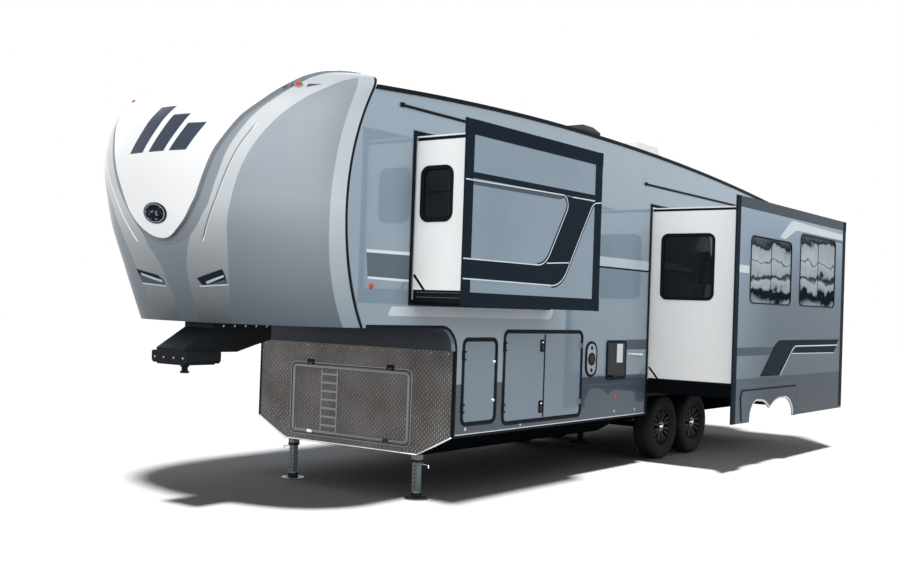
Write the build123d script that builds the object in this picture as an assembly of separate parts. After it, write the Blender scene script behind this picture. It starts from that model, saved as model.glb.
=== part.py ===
from build123d import *
import os
from math import atan2, cos, degrees, pi, sin, sqrt

# Fifth wheel trailer.  Millimetres.  X forward, Y to the road side, Z up.
# X = 0 is the front axle, Y = 0 the centre line and Z = 0 the ground.

os.makedirs("parts", exist_ok=True)

# body
BODY_WIDTH = 2440
SIDE = BODY_WIDTH / 2
WALL = 40
REAR_X = -3150
LOWER_FRONT_X = 4498
SKIRT_Z = 600
BELT_Z = 1070
TYRE_D = 784
HUB_Z = TYRE_D / 2
FLOOR_Z = TYRE_D + 8
FLOOR_T = 45
DECK_Z = 1560
DECK_T = 60
STEP_X = 2250
INNER = SIDE - WALL

# roof: two long arcs that meet at the crest, with a crown across
CREST_X = 2600
CREST_Z = 3628
ROOF_R_FRONT = 41700
ROOF_R_REAR = 62000
ROOF_T = 40
CROWN = 120
ROOF_SEAT = 90

# seam between the side walls and the nose cap: one arc
SEAM_R = 1950
SEAM_X = 5966
SEAM_Z = 2480

# nose cap: height, front at the centre line, half width
CAP_SECTIONS = [
    (1560, 6460, 0),
    (2000, 6650, 0),
    (2450, 6828, 0),
    (2850, 6893, 0),
    (3100, 6858, 0),
    (3300, 6747, 0),
    (3450, 6580, 1),
    (3555, 6350, 18),
    (3610, 6120, 70),
    (3635, 5930, 140),
]
CAP_FRONT_R = 2200
CAP_CORNER_R = 750
CAP_BACK_X = 4800
CAP_T = 40
CAP_TURN_Z = 3060
PANEL_PROUD = 12
# raised centre panel of the cap: half width as a share of the body's, height
PANEL_EDGE = [(0.246, 2415), (0.393, 2676), (0.542, 2959), (0.709, 3244), (0.783, 3450), (0.799, 3700)]
PANEL_TIP_Z = 2225

# wheels
TYRE_W = 235
TYRE_Y = SIDE - 254.5
RIM_R = 203
AXLE_X = (0, -870)
AXLE_R = 38
SPINDLE_D = 50
HUB_BORE_D = 51

# frame
RAIL_Y = TYRE_Y - 180.5
RAIL_W = 80
RAIL_Z = HUB_Z + 88
RAIL_H = 180
RAIL_FRONT_X = 4380
PAN_Z = 400
PAN_T = 20
PAN_REAR_X = 1200
PAN_FLAT = SIDE - 390

# main slide-out, drawn extended
MAIN_REAR_X = -2900
MAIN_FRONT_X = 756
ARM_Z = FLOOR_Z + FLOOR_T + 12
MAIN_FLOOR_Z = ARM_Z + 151
MAIN_TOP_Z = 2971
MAIN_FACE_Y = SIDE + 1062
MAIN_FACE_T = 16
MAIN_FACE_X = (-2930, 837)
MAIN_FACE_Z = (572, 3087)
SLIDE_GAP = 20
SLIDE_FLOOR_T = 60
SLIDE_INNER_Y = SIDE - 100

# bedroom slide-out, drawn extended
BED_REAR_X = 2990
BED_FRONT_X = 5137
BED_FLOOR_Z = 1800
BED_TOP_Z = 3170
BED_FACE_Y = SIDE + 554
BED_FACE_T = 14
BED_FACE_X = (2950, 5187)
BED_FACE_Z = (1761, 3283)

DOOR_GAP = 6
DOOR_R = 50
WINDOW_R = 75
BAR_SIDES = 8
GLASS_T = 10


def block(x0, x1, y0, y1, z0, z1):
    centre = Pos((x0 + x1) / 2, (y0 + y1) / 2, (z0 + z1) / 2)
    return centre * Box(x1 - x0, y1 - y0, z1 - z0)


def prism(points, direction):
    face = Face(Wire.make_polygon([Vector(*p) for p in points], close=True))
    length = Vector(*direction).length
    return extrude(face, amount=length, dir=direction)


def side_prism(outline, y0, y1):
    """A plate with its outline in X and Z."""
    return prism([(x, y0, z) for x, z in outline], (0, y1 - y0, 0))


def cross_prism(outline, x0, x1):
    """A bar with its section in Y and Z."""
    return prism([(x0, y, z) for y, z in outline], (x1 - x0, 0, 0))


def curved_prism(edges, direction):
    """A plate from lines (2 points) and arcs (3 points) in a closed chain."""
    made = []
    for points in edges:
        if len(points) == 2:
            made.append(Edge.make_line(*points))
        else:
            made.append(Edge.make_three_point_arc(*points))
    face = Face(Wire(made))
    return extrude(face, amount=Vector(*direction).length, dir=direction)


def tube_y(x, z, radius, y0, y1):
    return Pos(x, (y0 + y1) / 2, z) * Rot(90, 0, 0) * Cylinder(radius, abs(y1 - y0))


def tube_z(x, y, radius, z0, z1):
    return Pos(x, y, (z0 + z1) / 2) * Cylinder(radius, z1 - z0)


def bar_y(x, z, radius, y0, y1):
    """A slim round bar along Y, with few faces."""
    face = Pos(x, y0, z) * Rot(90, 0, 0) * RegularPolygon(radius, BAR_SIDES)
    return extrude(face, amount=abs(y1 - y0), dir=(0, 1 if y1 > y0 else -1, 0))


def bar_z(x, y, radius, z0, z1, inside=False):
    """The same along Z.  Inside: the radius is to the middles of the faces, as for a bore."""
    face = Pos(x, y, z0) * RegularPolygon(radius, BAR_SIDES, major_radius=not inside)
    return extrude(face, amount=z1 - z0, dir=(0, 0, 1))


def turned(steps, sides, ring=False):
    """A turned form along Y from (y, radius) steps, with flat sides all round.

    Ring: the steps go all the way round the section, as for a tyre."""
    rings = []
    for y, radius in steps:
        turns = [2 * pi * index / sides for index in range(sides)]
        rings.append([(radius * cos(turn), y, radius * sin(turn)) for turn in turns])
    faces = []
    for near, far in zip(rings, rings[1:] + (rings[:1] if ring else [])):
        for index in range(sides):
            after = (index + 1) % sides
            corners = [near[index], near[after], far[after], far[index]]
            faces.append(Face(Wire.make_polygon(corners, close=True)))
    if not ring:
        for end in (rings[0], rings[-1]):
            faces.append(Face(Wire.make_polygon(end, close=True)))
    return Solid(Shell(faces))


def plate_y(x, z, y0, y1, radius):
    """A plate square to Y with rounded corners."""
    outline = RectangleRounded(x[1] - x[0], z[1] - z[0], radius)
    face = Pos(sum(x) / 2, y0, sum(z) / 2) * Rot(90, 0, 0) * outline
    return extrude(face, amount=y1 - y0, dir=(0, 1, 0))


def plate_x(y, z, x0, x1, radius):
    """A plate square to X with rounded corners."""
    outline = RectangleRounded(z[1] - z[0], y[1] - y[0], radius)
    face = Pos(x0, sum(y) / 2, sum(z) / 2) * Rot(0, 90, 0) * outline
    return extrude(face, amount=x1 - x0, dir=(1, 0, 0))


def shrunk(span):
    """A span less the gap round a door."""
    return (span[0] + DOOR_GAP, span[1] - DOOR_GAP)


def mirrored(shape):
    return mirror(shape, about=Plane.XZ)


def both_sides(shape):
    return group([shape, mirrored(shape)])


def group(shapes):
    """Solids that stand apart, as one piece."""
    solids = []
    for shape in shapes:
        solids.extend(shape.solids())
    return Compound(solids)


def roof_edge(x, drop=0):
    radius = ROOF_R_FRONT if x > CREST_X else ROOF_R_REAR
    return CREST_Z - radius + sqrt((radius - drop) ** 2 - (x - CREST_X) ** 2)


# everything behind the cap's seam
seam_tool = block(REAR_X - 500, SEAM_X - SEAM_R, -1500, 1500, 0, 5000)
seam_tool += tube_y(SEAM_X - SEAM_R, SEAM_Z, SEAM_R, -1500, 1500)


def roof_band(section, x0, x1):
    """Turns a Y-Z section, drawn with its edge at the crest height, along the roof's two arcs."""
    bands = []
    for radius, end in ((ROOF_R_REAR, x0), (ROOF_R_FRONT, x1)):
        axis = Axis((CREST_X, 0, CREST_Z - radius), (0, 1, 0))
        angle = degrees((end - CREST_X) / radius)
        bands.append(revolve(section, axis=axis, revolution_arc=angle))
    return bands[0] + bands[1]


def section_face(edges):
    made = []
    for points in edges:
        placed = [(CREST_X, y, z) for y, z in points]
        if len(points) == 2:
            made.append(Edge.make_line(*placed))
        else:
            made.append(Edge.make_three_point_arc(*placed))
    return Face(Wire(made))


parts = {}

# roof
seat = SIDE - ROOF_SEAT
roof_section = section_face([
    [(-SIDE, CREST_Z), (0, CREST_Z + CROWN), (SIDE, CREST_Z)],
    [(SIDE, CREST_Z), (SIDE, CREST_Z - ROOF_T)],
    [(SIDE, CREST_Z - ROOF_T), (seat, CREST_Z - ROOF_T)],
    [(seat, CREST_Z - ROOF_T), (0, CREST_Z + CROWN - ROOF_T), (-seat, CREST_Z - ROOF_T)],
    [(-seat, CREST_Z - ROOF_T), (-SIDE, CREST_Z - ROOF_T)],
    [(-SIDE, CREST_Z - ROOF_T), (-SIDE, CREST_Z)],
])
roof_end = block(REAR_X, 7000, -1500, 1500, 0, 5000)
parts["roof"] = roof_band(roof_section, REAR_X - 60, 5900) & seam_tool & roof_end

# everything below the roof's outer surface
below_section = section_face([
    [(-SIDE, CREST_Z), (0, CREST_Z + CROWN), (SIDE, CREST_Z)],
    [(SIDE, CREST_Z), (SIDE, CREST_Z - 400)],
    [(SIDE, CREST_Z - 400), (-SIDE, CREST_Z - 400)],
    [(-SIDE, CREST_Z - 400), (-SIDE, CREST_Z)],
])
below_roof = roof_band(below_section, REAR_X - 60, 5900)

# the room inside the walls, up to the underside of the roof's edge
under_roof_section = section_face([
    [(-1500, CREST_Z - ROOF_T), (1500, CREST_Z - ROOF_T)],
    [(1500, CREST_Z - ROOF_T), (1500, CREST_Z - 4000)],
    [(1500, CREST_Z - 4000), (-1500, CREST_Z - 4000)],
    [(-1500, CREST_Z - 4000), (-1500, CREST_Z - ROOF_T)],
])
under_roof = roof_band(under_roof_section, REAR_X - 700, 7000)

edge_section = section_face([
    [(SIDE, CREST_Z - ROOF_T + 2), (SIDE + 12, CREST_Z - ROOF_T + 2)],
    [(SIDE + 12, CREST_Z - ROOF_T + 2), (SIDE + 12, CREST_Z - 2)],
    [(SIDE + 12, CREST_Z - 2), (SIDE, CREST_Z - 2)],
    [(SIDE, CREST_Z - 2), (SIDE, CREST_Z - ROOF_T + 2)],
])
edge_left = roof_band(edge_section, REAR_X - 60, 5900) & seam_tool & roof_end
DRIP_X = (2900, 5340)
drip_rail = block(*DRIP_X, SIDE, SIDE + 6, 3392, 3408)
parts["roof_edges"] = group([both_sides(edge_left), drip_rail])

# side walls from the belt up, with the cove's curve under the deck
COVE_R = 200
COVE_Z = DECK_Z - COVE_R
COVE_X = LOWER_FRONT_X + COVE_R
cove_mid = (LOWER_FRONT_X + COVE_R * (1 - cos(pi / 4)), COVE_Z + COVE_R * sin(pi / 4))


def side_wall(sign):
    y0 = sign * INNER
    thick = (0, sign * WALL, 0)

    def at(x, z):
        return (x, y0, z)

    wall = curved_prism([
        [at(REAR_X, BELT_Z), at(LOWER_FRONT_X, BELT_Z)],
        [at(LOWER_FRONT_X, BELT_Z), at(LOWER_FRONT_X, COVE_Z)],
        [at(LOWER_FRONT_X, COVE_Z), at(*cove_mid), at(COVE_X, DECK_Z)],
        [at(COVE_X, DECK_Z), at(6300, DECK_Z)],
        [at(6300, DECK_Z), at(6300, 4000)],
        [at(6300, 4000), at(REAR_X, 4000)],
        [at(REAR_X, 4000), at(REAR_X, BELT_Z)],
    ], thick)
    return wall & seam_tool & under_roof


def opening(x, z, sign, radius):
    """A hole through a side wall, with rounded corners."""
    return plate_y(x, z, *sorted((sign * (INNER - 60), sign * (SIDE + 60))), radius)


MAIN_CUT = (MAIN_REAR_X - SLIDE_GAP, MAIN_FRONT_X + SLIDE_GAP)
BED_CUT = (BED_REAR_X - SLIDE_GAP, BED_FRONT_X + SLIDE_GAP)

# storage doors on the road side: name, x range, z range, hinge edge
LEFT_DOORS = [
    ("baggage_door_narrow", (3868, 4355), (718, 1451)),
    ("baggage_door_front", (3001, 3703), (686, 1526)),
    ("baggage_door_rear", (2295, 2997), (686, 1526)),
]
DOUBLE_DOOR = ((2295, 3703), (686, 1526))
RIGHT_BAGGAGE = ((2950, 4150), (700, 1450))
ENTRY = ((1350, 2050), (880, 2830))
ENTRY_WINDOW = ((1480, 1920), (1750, 2600))

# windows in the right and the rear wall: along the wall, height
RIGHT_WINDOWS = [((-2500, -1750), (1900, 2650)), ((-1250, 250), (1850, 2650)), ((3300, 4500), (2300, 2850))]
REAR_WINDOW = ((-700, 700), (1900, 2650))

parts["wall_left"] = side_wall(1)
parts["wall_left"] -= block(*MAIN_CUT, INNER - 60, SIDE + 60, 0, MAIN_TOP_Z + SLIDE_GAP)
parts["wall_left"] -= block(*BED_CUT, INNER - 60, SIDE + 60, BED_FLOOR_Z - SLIDE_GAP, BED_TOP_Z + SLIDE_GAP)
parts["wall_right"] = side_wall(-1)
for span in RIGHT_WINDOWS:
    parts["wall_right"] -= opening(*span, -1, WINDOW_R)
parts["wall_right"] -= opening(*ENTRY, -1, DOOR_R)
parts["wall_right"] -= opening(*RIGHT_BAGGAGE, -1, DOOR_R)

# wheel arches, shared by the right skirt and the slide-out's outer panel
ARCH_X = (365, -265, -1065)
ARCH_TOP = ((50, 815), (-690, 815))
ARCH_DIP_Z = 722
# raised moulding around the arches
FLARE = [(560, 572), (600, 850), (560, 925), (-1130, 925), (-1150, 850), (-1150, 572)]
FLARE_PROUD = 12


def arches(y0, y1):
    def at(x, z):
        return (x, y0, z)

    low = MAIN_FACE_Z[0] - 100
    return curved_prism([
        [at(ARCH_X[0], low), at(ARCH_X[0] - 15, SKIRT_Z + 60)],
        [at(ARCH_X[0] - 15, SKIRT_Z + 60), at(ARCH_X[0] - 110, 783), at(*ARCH_TOP[0])],
        [at(*ARCH_TOP[0]), at(ARCH_X[1] + 130, 790), at(ARCH_X[1], ARCH_DIP_Z)],
        [at(ARCH_X[1], ARCH_DIP_Z), at(ARCH_X[1] - 140, 785), at(*ARCH_TOP[1])],
        [at(*ARCH_TOP[1]), at(ARCH_X[2] + 120, 765), at(ARCH_X[2] + 15, SKIRT_Z + 60)],
        [at(ARCH_X[2] + 15, SKIRT_Z + 60), at(ARCH_X[2], low)],
        [at(ARCH_X[2], low), at(ARCH_X[0], low)],
    ], (0, y1 - y0, 0))


# skirts from the belt down
skirt_left = [
    block(REAR_X, MAIN_CUT[0], INNER, SIDE, SKIRT_Z, BELT_Z),
    block(MAIN_CUT[1], LOWER_FRONT_X, INNER, SIDE, SKIRT_Z, BELT_Z),
]
for name, x, z in LEFT_DOORS[:1]:
    skirt_left[1] -= opening(x, z, 1, DOOR_R)
    parts["wall_left"] -= opening(x, z, 1, DOOR_R)
skirt_left[1] -= opening(*DOUBLE_DOOR, 1, DOOR_R)
parts["wall_left"] -= opening(*DOUBLE_DOOR, 1, DOOR_R)
skirt_right = block(REAR_X, LOWER_FRONT_X, -SIDE, -INNER, SKIRT_Z, BELT_Z)
skirt_right += side_prism(FLARE[1:5] + [(-1150, SKIRT_Z), (564, SKIRT_Z)], -SIDE - FLARE_PROUD, -SIDE + 1)
skirt_right -= arches(-SIDE - 50, -INNER + 50)
skirt_right -= opening(*RIGHT_BAGGAGE, -1, DOOR_R)
skirt_right -= opening(*ENTRY, -1, DOOR_R)
parts["skirts"] = group(skirt_left + [skirt_right])

# rear wall between the side walls
wall_rear = block(REAR_X, REAR_X + WALL, -INNER, INNER, SKIRT_Z, 4000) & under_roof
wall_rear -= plate_x(*REAR_WINDOW, REAR_X - 50, REAR_X + 100, WINDOW_R)
parts["wall_rear"] = wall_rear

# floors
parts["floor_main"] = block(REAR_X + WALL, STEP_X, -INNER, INNER, FLOOR_Z, FLOOR_Z + FLOOR_T)


def cap_section(z, front, narrower, inset):
    half = SIDE - narrower - inset
    front_r = CAP_FRONT_R - inset
    corner_r = CAP_CORNER_R - inset
    centre = front - inset - front_r
    corner_y = half - corner_r
    corner_x = centre + sqrt((front_r - corner_r) ** 2 - corner_y ** 2)
    turn = atan2(corner_y, corner_x - centre)
    middle = (turn + pi / 2) / 2
    tangent = (centre + front_r * cos(turn), front_r * sin(turn))
    corner = (corner_x + corner_r * cos(middle), corner_y + corner_r * sin(middle))

    def at(x, y):
        return (x, y, z)

    edges = [
        Edge.make_line(at(CAP_BACK_X, -half), at(corner_x, -half)),
        Edge.make_three_point_arc(
            at(corner_x, -half), at(corner[0], -corner[1]), at(tangent[0], -tangent[1])
        ),
        Edge.make_three_point_arc(at(tangent[0], -tangent[1]), at(front - inset, 0), at(*tangent)),
        Edge.make_three_point_arc(at(*tangent), at(*corner), at(corner_x, half)),
        Edge.make_line(at(corner_x, half), at(CAP_BACK_X, half)),
        Edge.make_line(at(CAP_BACK_X, half), at(CAP_BACK_X, -half)),
    ]
    return Face(Wire(edges))


def cap_form(inset):
    """The solid inside the cap's outer surface, moved inward by inset."""
    faces = []
    for z, front, narrower in CAP_SECTIONS:
        if z < CAP_TURN_Z:
            faces.append(cap_section(z, front, narrower, inset))
        else:
            faces.append(cap_section(z - inset, front, narrower, inset / 2))
    return loft(faces, ruled=True)


cap_outer = cap_form(0)
cap_inner = cap_form(CAP_T)
cap_shell = cap_outer - seam_tool
parts["nose_cap"] = cap_shell - cap_inner

panel_outline = [(0, PANEL_TIP_Z)] + [(share * SIDE, z) for share, z in PANEL_EDGE]
panel_outline += [(-share * SIDE, z) for share, z in reversed(PANEL_EDGE)]
panel_tool = cross_prism(panel_outline, 5800, 7200)
parts["cap_panel"] = (cap_form(-PANEL_PROUD) & panel_tool) - cap_outer

DOCK_Y = (235, 520)
DOCK_Z = (1850, 1975)
lamp = (cap_form(-6) & block(6000, 7200, *DOCK_Y, *DOCK_Z)) - cap_outer
parts["docking_lights"] = both_sides(lamp)

deck_front = extrude(cap_section(DECK_Z, CAP_SECTIONS[0][1], 0, CAP_T), amount=DECK_T, dir=(0, 0, 1))
deck = block(STEP_X, CAP_BACK_X, -INNER, INNER, DECK_Z, DECK_Z + DECK_T) + deck_front
parts["upper_deck"] = deck

# storage room under the deck
STORE_FLOOR_Z = RAIL_Z + RAIL_H
STORE_DIVIDER_X = 3760
STORE_T = 24
storage = block(STEP_X, STEP_X + 30, -INNER, INNER, STORE_FLOOR_Z, DECK_Z)
storage += block(STEP_X, STORE_DIVIDER_X + STORE_T, -INNER, INNER, STORE_FLOOR_Z, STORE_FLOOR_Z + STORE_T)
storage += block(STORE_DIVIDER_X, STORE_DIVIDER_X + STORE_T, -INNER, INNER, STORE_FLOOR_Z, DECK_Z)
parts["storage_walls"] = storage

# lower front: bright plate, hatch and cove
FRONT_T = 25
HATCH_T = 18
HATCH_Y = (60 - PAN_FLAT, PAN_FLAT - 90)
HATCH_Z = (472, 1160)
front_outline = [
    (-PAN_FLAT, PAN_Z), (PAN_FLAT, PAN_Z), (SIDE, SKIRT_Z), (SIDE, COVE_Z), (-SIDE, COVE_Z), (-SIDE, SKIRT_Z)
]
front_plate = cross_prism(front_outline, LOWER_FRONT_X, LOWER_FRONT_X + 4)
inside_plate = block(LOWER_FRONT_X - FRONT_T, LOWER_FRONT_X, -INNER, INNER, SKIRT_Z, COVE_Z)
basement_front = front_plate + inside_plate
basement_front -= plate_x(HATCH_Y, HATCH_Z, LOWER_FRONT_X - 100, LOWER_FRONT_X + 50, DOOR_R)
parts["basement_front"] = basement_front
parts["front_hatch"] = plate_x(
    shrunk(HATCH_Y), shrunk(HATCH_Z), LOWER_FRONT_X + 4 - HATCH_T, LOWER_FRONT_X + 4, DOOR_R - DOOR_GAP
)


def cove_at(x, z):
    return (x, -INNER, z)


COVE_T = 25
inner_mid = (COVE_X - (COVE_R + COVE_T) * cos(pi / 4), COVE_Z + (COVE_R + COVE_T) * sin(pi / 4))
cove = curved_prism([
    [cove_at(LOWER_FRONT_X, COVE_Z), cove_at(*cove_mid), cove_at(COVE_X, DECK_Z)],
    [cove_at(COVE_X, DECK_Z), cove_at(COVE_X, DECK_Z + COVE_T)],
    [cove_at(COVE_X, DECK_Z + COVE_T), cove_at(*inner_mid), cove_at(LOWER_FRONT_X - COVE_T, COVE_Z)],
    [cove_at(LOWER_FRONT_X - COVE_T, COVE_Z), cove_at(LOWER_FRONT_X, COVE_Z)],
], (0, 2 * INNER, 0))
parts["front_cove"] = cove - block(4000, 6000, -1500, 1500, DECK_Z, DECK_Z + 100)

# frame rails as I beams
flange = 8
web = 6


def i_beam(y, z, width, height):
    half = width / 2
    return [
        (y - half, z), (y + half, z), (y + half, z + flange), (y + web / 2, z + flange),
        (y + web / 2, z + height - flange), (y + half, z + height - flange), (y + half, z + height),
        (y - half, z + height), (y - half, z + height - flange), (y - web / 2, z + height - flange),
        (y - web / 2, z + flange), (y - half, z + flange),
    ]


rail = cross_prism(i_beam(RAIL_Y, RAIL_Z, RAIL_W, RAIL_H), REAR_X + WALL, RAIL_FRONT_X)
parts["frame_rails"] = both_sides(rail)

# cross members and the outriggers that carry the floor
CROSS_X = (-2900, -1750, -435, 700, 1700, 2900, 3700)
cross_parts = []
for x in CROSS_X:
    cross_parts.append(block(x - 30, x + 30, -RAIL_Y + 3, RAIL_Y - 3, RAIL_Z + 80, RAIL_Z + 140))
# floor bearers on top of the rails
BEARER_X = (-2900, -2300, -1750, -435, 700, 1250, 1700)
bearers = []
for x in BEARER_X:
    bearers.append(block(x - 25, x + 25, -INNER + 30, INNER - 30, RAIL_Z + RAIL_H, FLOOR_Z))
parts["cross_members"] = group(cross_parts + bearers)

# underbelly pan
pan_outline = [
    (-PAN_FLAT, PAN_Z), (PAN_FLAT, PAN_Z), (INNER, SKIRT_Z), (INNER, SKIRT_Z + PAN_T),
    (PAN_FLAT, PAN_Z + PAN_T), (-PAN_FLAT, PAN_Z + PAN_T), (-INNER, SKIRT_Z + PAN_T), (-INNER, SKIRT_Z),
]
LEG_X = 4431
LEG_Y = RAIL_Y - 3
LEG_W = 76
pan = cross_prism(pan_outline, PAN_REAR_X, LOWER_FRONT_X)
for sign in (1, -1):
    y = sign * LEG_Y
    hole = LEG_W / 2 + 6
    pan -= block(LEG_X - hole, LEG_X + hole, y - hole, y + hole, 300, 600)
pan -= inside_plate
rear_half = RAIL_Y - RAIL_W / 2 + 4
rear_pan = block(REAR_X + WALL, PAN_REAR_X - 20, -rear_half, rear_half, RAIL_Z - 14, RAIL_Z)
parts["underbelly"] = group([pan, rear_pan])

# landing legs
FOOT_R = 110
leg_parts = []
for sign in (1, -1):
    y = sign * LEG_Y
    half = LEG_W / 2
    leg_parts.append(block(LEG_X - half, LEG_X + half, y - half, y + half, 330, 1250))
    thin = half - 8
    leg = block(LEG_X - thin, LEG_X + thin, y - thin, y + thin, 70, 330)
    foot = tube_z(LEG_X, y, FOOT_R, 0, 12) + tube_z(LEG_X, y, 48, 12, 70)
    plate = block(LEG_X + half, LOWER_FRONT_X - FRONT_T, y - 55, y + 55, 700, 1150)
    leg_parts[-1] += leg + foot + plate
parts["landing_legs"] = group(leg_parts)

# stabiliser jacks, folded up
JACK_X = 1600
JACK_Y = PAN_FLAT + 20
jack_parts = []
for sign in (1, -1):
    y = sign * JACK_Y
    jack = tube_z(JACK_X, y, 32, 330, 415)
    jack += tube_z(JACK_X, y, FOOT_R, 295, 305)
    jack += tube_z(JACK_X, y, 45, 305, 330)
    jack_parts.append(jack - pan)
parts["stabiliser_jacks"] = group(jack_parts)

# pin box
PIN_X = 6498
KINGPIN_PLATE_Z = 1219
HEAD_Z = (1230, 1321)
PIN_BOX_HALF = 170
pin_outline = [
    (5720, DECK_Z), (5720, 1420), (5900, 1376), (6100, HEAD_Z[1]), (6650, HEAD_Z[1]),
    (6650, 1350), (6370, 1516), (6370, DECK_Z),
]
parts["pin_box"] = side_prism(pin_outline, -PIN_BOX_HALF, PIN_BOX_HALF)
HEAD_HALF = 215
HEAD_CHAMFER = 22
head_low = HEAD_HALF - HEAD_CHAMFER
head_section = [
    (-HEAD_HALF, HEAD_Z[1]), (-HEAD_HALF, HEAD_Z[0] + HEAD_CHAMFER), (-head_low, HEAD_Z[0]),
    (head_low, HEAD_Z[0]), (HEAD_HALF, HEAD_Z[0] + HEAD_CHAMFER), (HEAD_HALF, HEAD_Z[1]),
]
pin_head = cross_prism(head_section, 6310, 6660)
pin_head += block(6330, 6645, -165, 165, KINGPIN_PLATE_Z, HEAD_Z[0] + 1)

kingpin = tube_z(PIN_X, 0, 36, KINGPIN_PLATE_Z - 22, KINGPIN_PLATE_Z)
kingpin += tube_z(PIN_X, 0, 25.4, KINGPIN_PLATE_Z - 54, KINGPIN_PLATE_Z - 22)
kingpin += tube_z(PIN_X, 0, 35.7, KINGPIN_PLATE_Z - 72, KINGPIN_PLATE_Z - 54)
parts["pin_head"] = pin_head + kingpin

# running gear
half_tyre = TYRE_W / 2


BRAKE_Y = (TYRE_Y - 137.5, TYRE_Y - 129.5)


def both_ends(steps):
    """Steps from the outside in, carried on to the other side."""
    return [(-y, radius) for y, radius in steps] + [(y, radius) for y, radius in reversed(steps)]


def axle(x):
    end = [(TYRE_Y + 24, SPINDLE_D / 2), (BRAKE_Y[1], SPINDLE_D / 2), (BRAKE_Y[1], 150), (BRAKE_Y[0], 150)]
    end.append((BRAKE_Y[0], AXLE_R))
    return Pos(x, 0, HUB_Z) * turned(both_ends(end), 24)


parts["axles"] = group([axle(x) for x in AXLE_X])

SPRING_Y = (RAIL_Y - 30, RAIL_Y + 30)
SPRING_REACH = 330
LEAF_T = 8
LEAVES = [(150, 0), (240, 1), (SPRING_REACH, 2)]
BOLT_X = 48
seat_z = HUB_Z + AXLE_R
eye_z = seat_z + 3 * LEAF_T
under_z = HUB_Z - AXLE_R
spring_parts = []
hanger_x = (AXLE_X[0] + SPRING_REACH, (AXLE_X[0] + AXLE_X[1]) / 2, AXLE_X[1] - SPRING_REACH)
for x in AXLE_X:
    clamp = (x - 60, x + 60, SPRING_Y[0] - 4, SPRING_Y[1] + 4)
    stack = block(*clamp, eye_z, eye_z + LEAF_T) + block(*clamp, under_z - 10, under_z)
    for reach, level in LEAVES:
        leaf_z = seat_z + level * LEAF_T
        stack += block(x - reach, x + reach, *SPRING_Y, leaf_z, leaf_z + LEAF_T)
    for dx in (-BOLT_X, BOLT_X):
        for y in (SPRING_Y[0] + 4, SPRING_Y[1] - 4):
            stack += bar_z(x + dx, y, 6, under_z - 10, eye_z + LEAF_T)
    spring_parts.append(stack)
for x in (hanger_x[0], hanger_x[2]):
    spring_parts.append(block(x - 20, x + 20, SPRING_Y[0] - 3, SPRING_Y[1] + 3, eye_z, RAIL_Z))
mid = hanger_x[1]
spring_parts.append(block(mid - 110, mid + 110, *SPRING_Y, eye_z, RAIL_Z))
springs = spring_parts[0]
for item in spring_parts[1:]:
    springs += item
parts["springs"] = both_sides(springs)

# tyre and wheel, drawn at the origin with the axle along Y and the outside at plus Y
WHEEL_SIDES = 40
TYRE_OUTER = [(half_tyre, 345), (half_tyre - 10, 370), (half_tyre - 30, 386), (60, HUB_Z)]
TYRE_INNER = [(half_tyre, 318), (108, 252), (77, 220), (73, RIM_R + 0.5)]


tyre_section = both_ends(TYRE_OUTER) + [(y, radius) for y, radius in reversed(both_ends(TYRE_INNER))]
tyre_form = turned(tyre_section, WHEEL_SIDES, ring=True)

# barrel with its flanges, then the dished face with the hub, drum and cap
RIM_EDGE = RIM_R + 12
BARREL_R = RIM_R - 14
rim_half = [(88, RIM_EDGE), (78, RIM_EDGE), (74, RIM_R)]
rim_form = turned(both_ends(rim_half), WHEEL_SIDES)
rim_form -= turned([(-90, BARREL_R), (34, BARREL_R), (46, BARREL_R - 20)], WHEEL_SIDES)
rim_form -= turned([(60, BARREL_R - 22), (90, BARREL_R)], WHEEL_SIDES)
rim_form += turned([(-100, 140), (47, 140)], WHEEL_SIDES)
rim_form += turned([(58, 62), (88, 58), (100, 44)], WHEEL_SIDES)
bore = HUB_BORE_D / 2 / cos(pi / WHEEL_SIDES)
rim_form -= turned([(-101, bore), (44, bore)], WHEEL_SIDES)
SPOKE_HOLES = 8
hole = prism([(70, 0, -14), (158, 0, -34), (158, 0, 34), (70, 0, 14)], (0, 90, 0))
for index in range(SPOKE_HOLES):
    rim_form -= Rot(0, index * 360 / SPOKE_HOLES, 0) * Pos(0, 48, 0) * hole
WHEELS = [
    ("front_left", 0, 1),
    ("front_right", 0, -1),
    ("rear_left", 1, 1),
    ("rear_right", 1, -1),
]
for name, index, sign in WHEELS:
    place = Pos(AXLE_X[index], sign * TYRE_Y, HUB_Z)
    turn = Rot(0, 0, 0 if sign > 0 else 180)
    parts["tyre_" + name] = place * turn * tyre_form
    parts["rim_" + name] = place * turn * rim_form

# main slide-out
main_y = (SLIDE_INNER_Y, MAIN_FACE_Y - MAIN_FACE_T)
main_box = block(MAIN_REAR_X, MAIN_FRONT_X, *main_y, MAIN_FLOOR_Z, MAIN_TOP_Z)
main_room_x = (MAIN_REAR_X + WALL, MAIN_FRONT_X - WALL)
main_room_z = (MAIN_FLOOR_Z + SLIDE_FLOOR_T, MAIN_TOP_Z - WALL)
main_box -= block(*main_room_x, main_y[0] - 10, main_y[1] + 10, *main_room_z)
MAIN_END_WINDOW = ((1355, 1994), (1928, 2668))
main_box -= plate_x(*MAIN_END_WINDOW, MAIN_FRONT_X - 100, MAIN_FRONT_X + 100, WINDOW_R)
parts["main_slide_box"] = main_box

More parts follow.
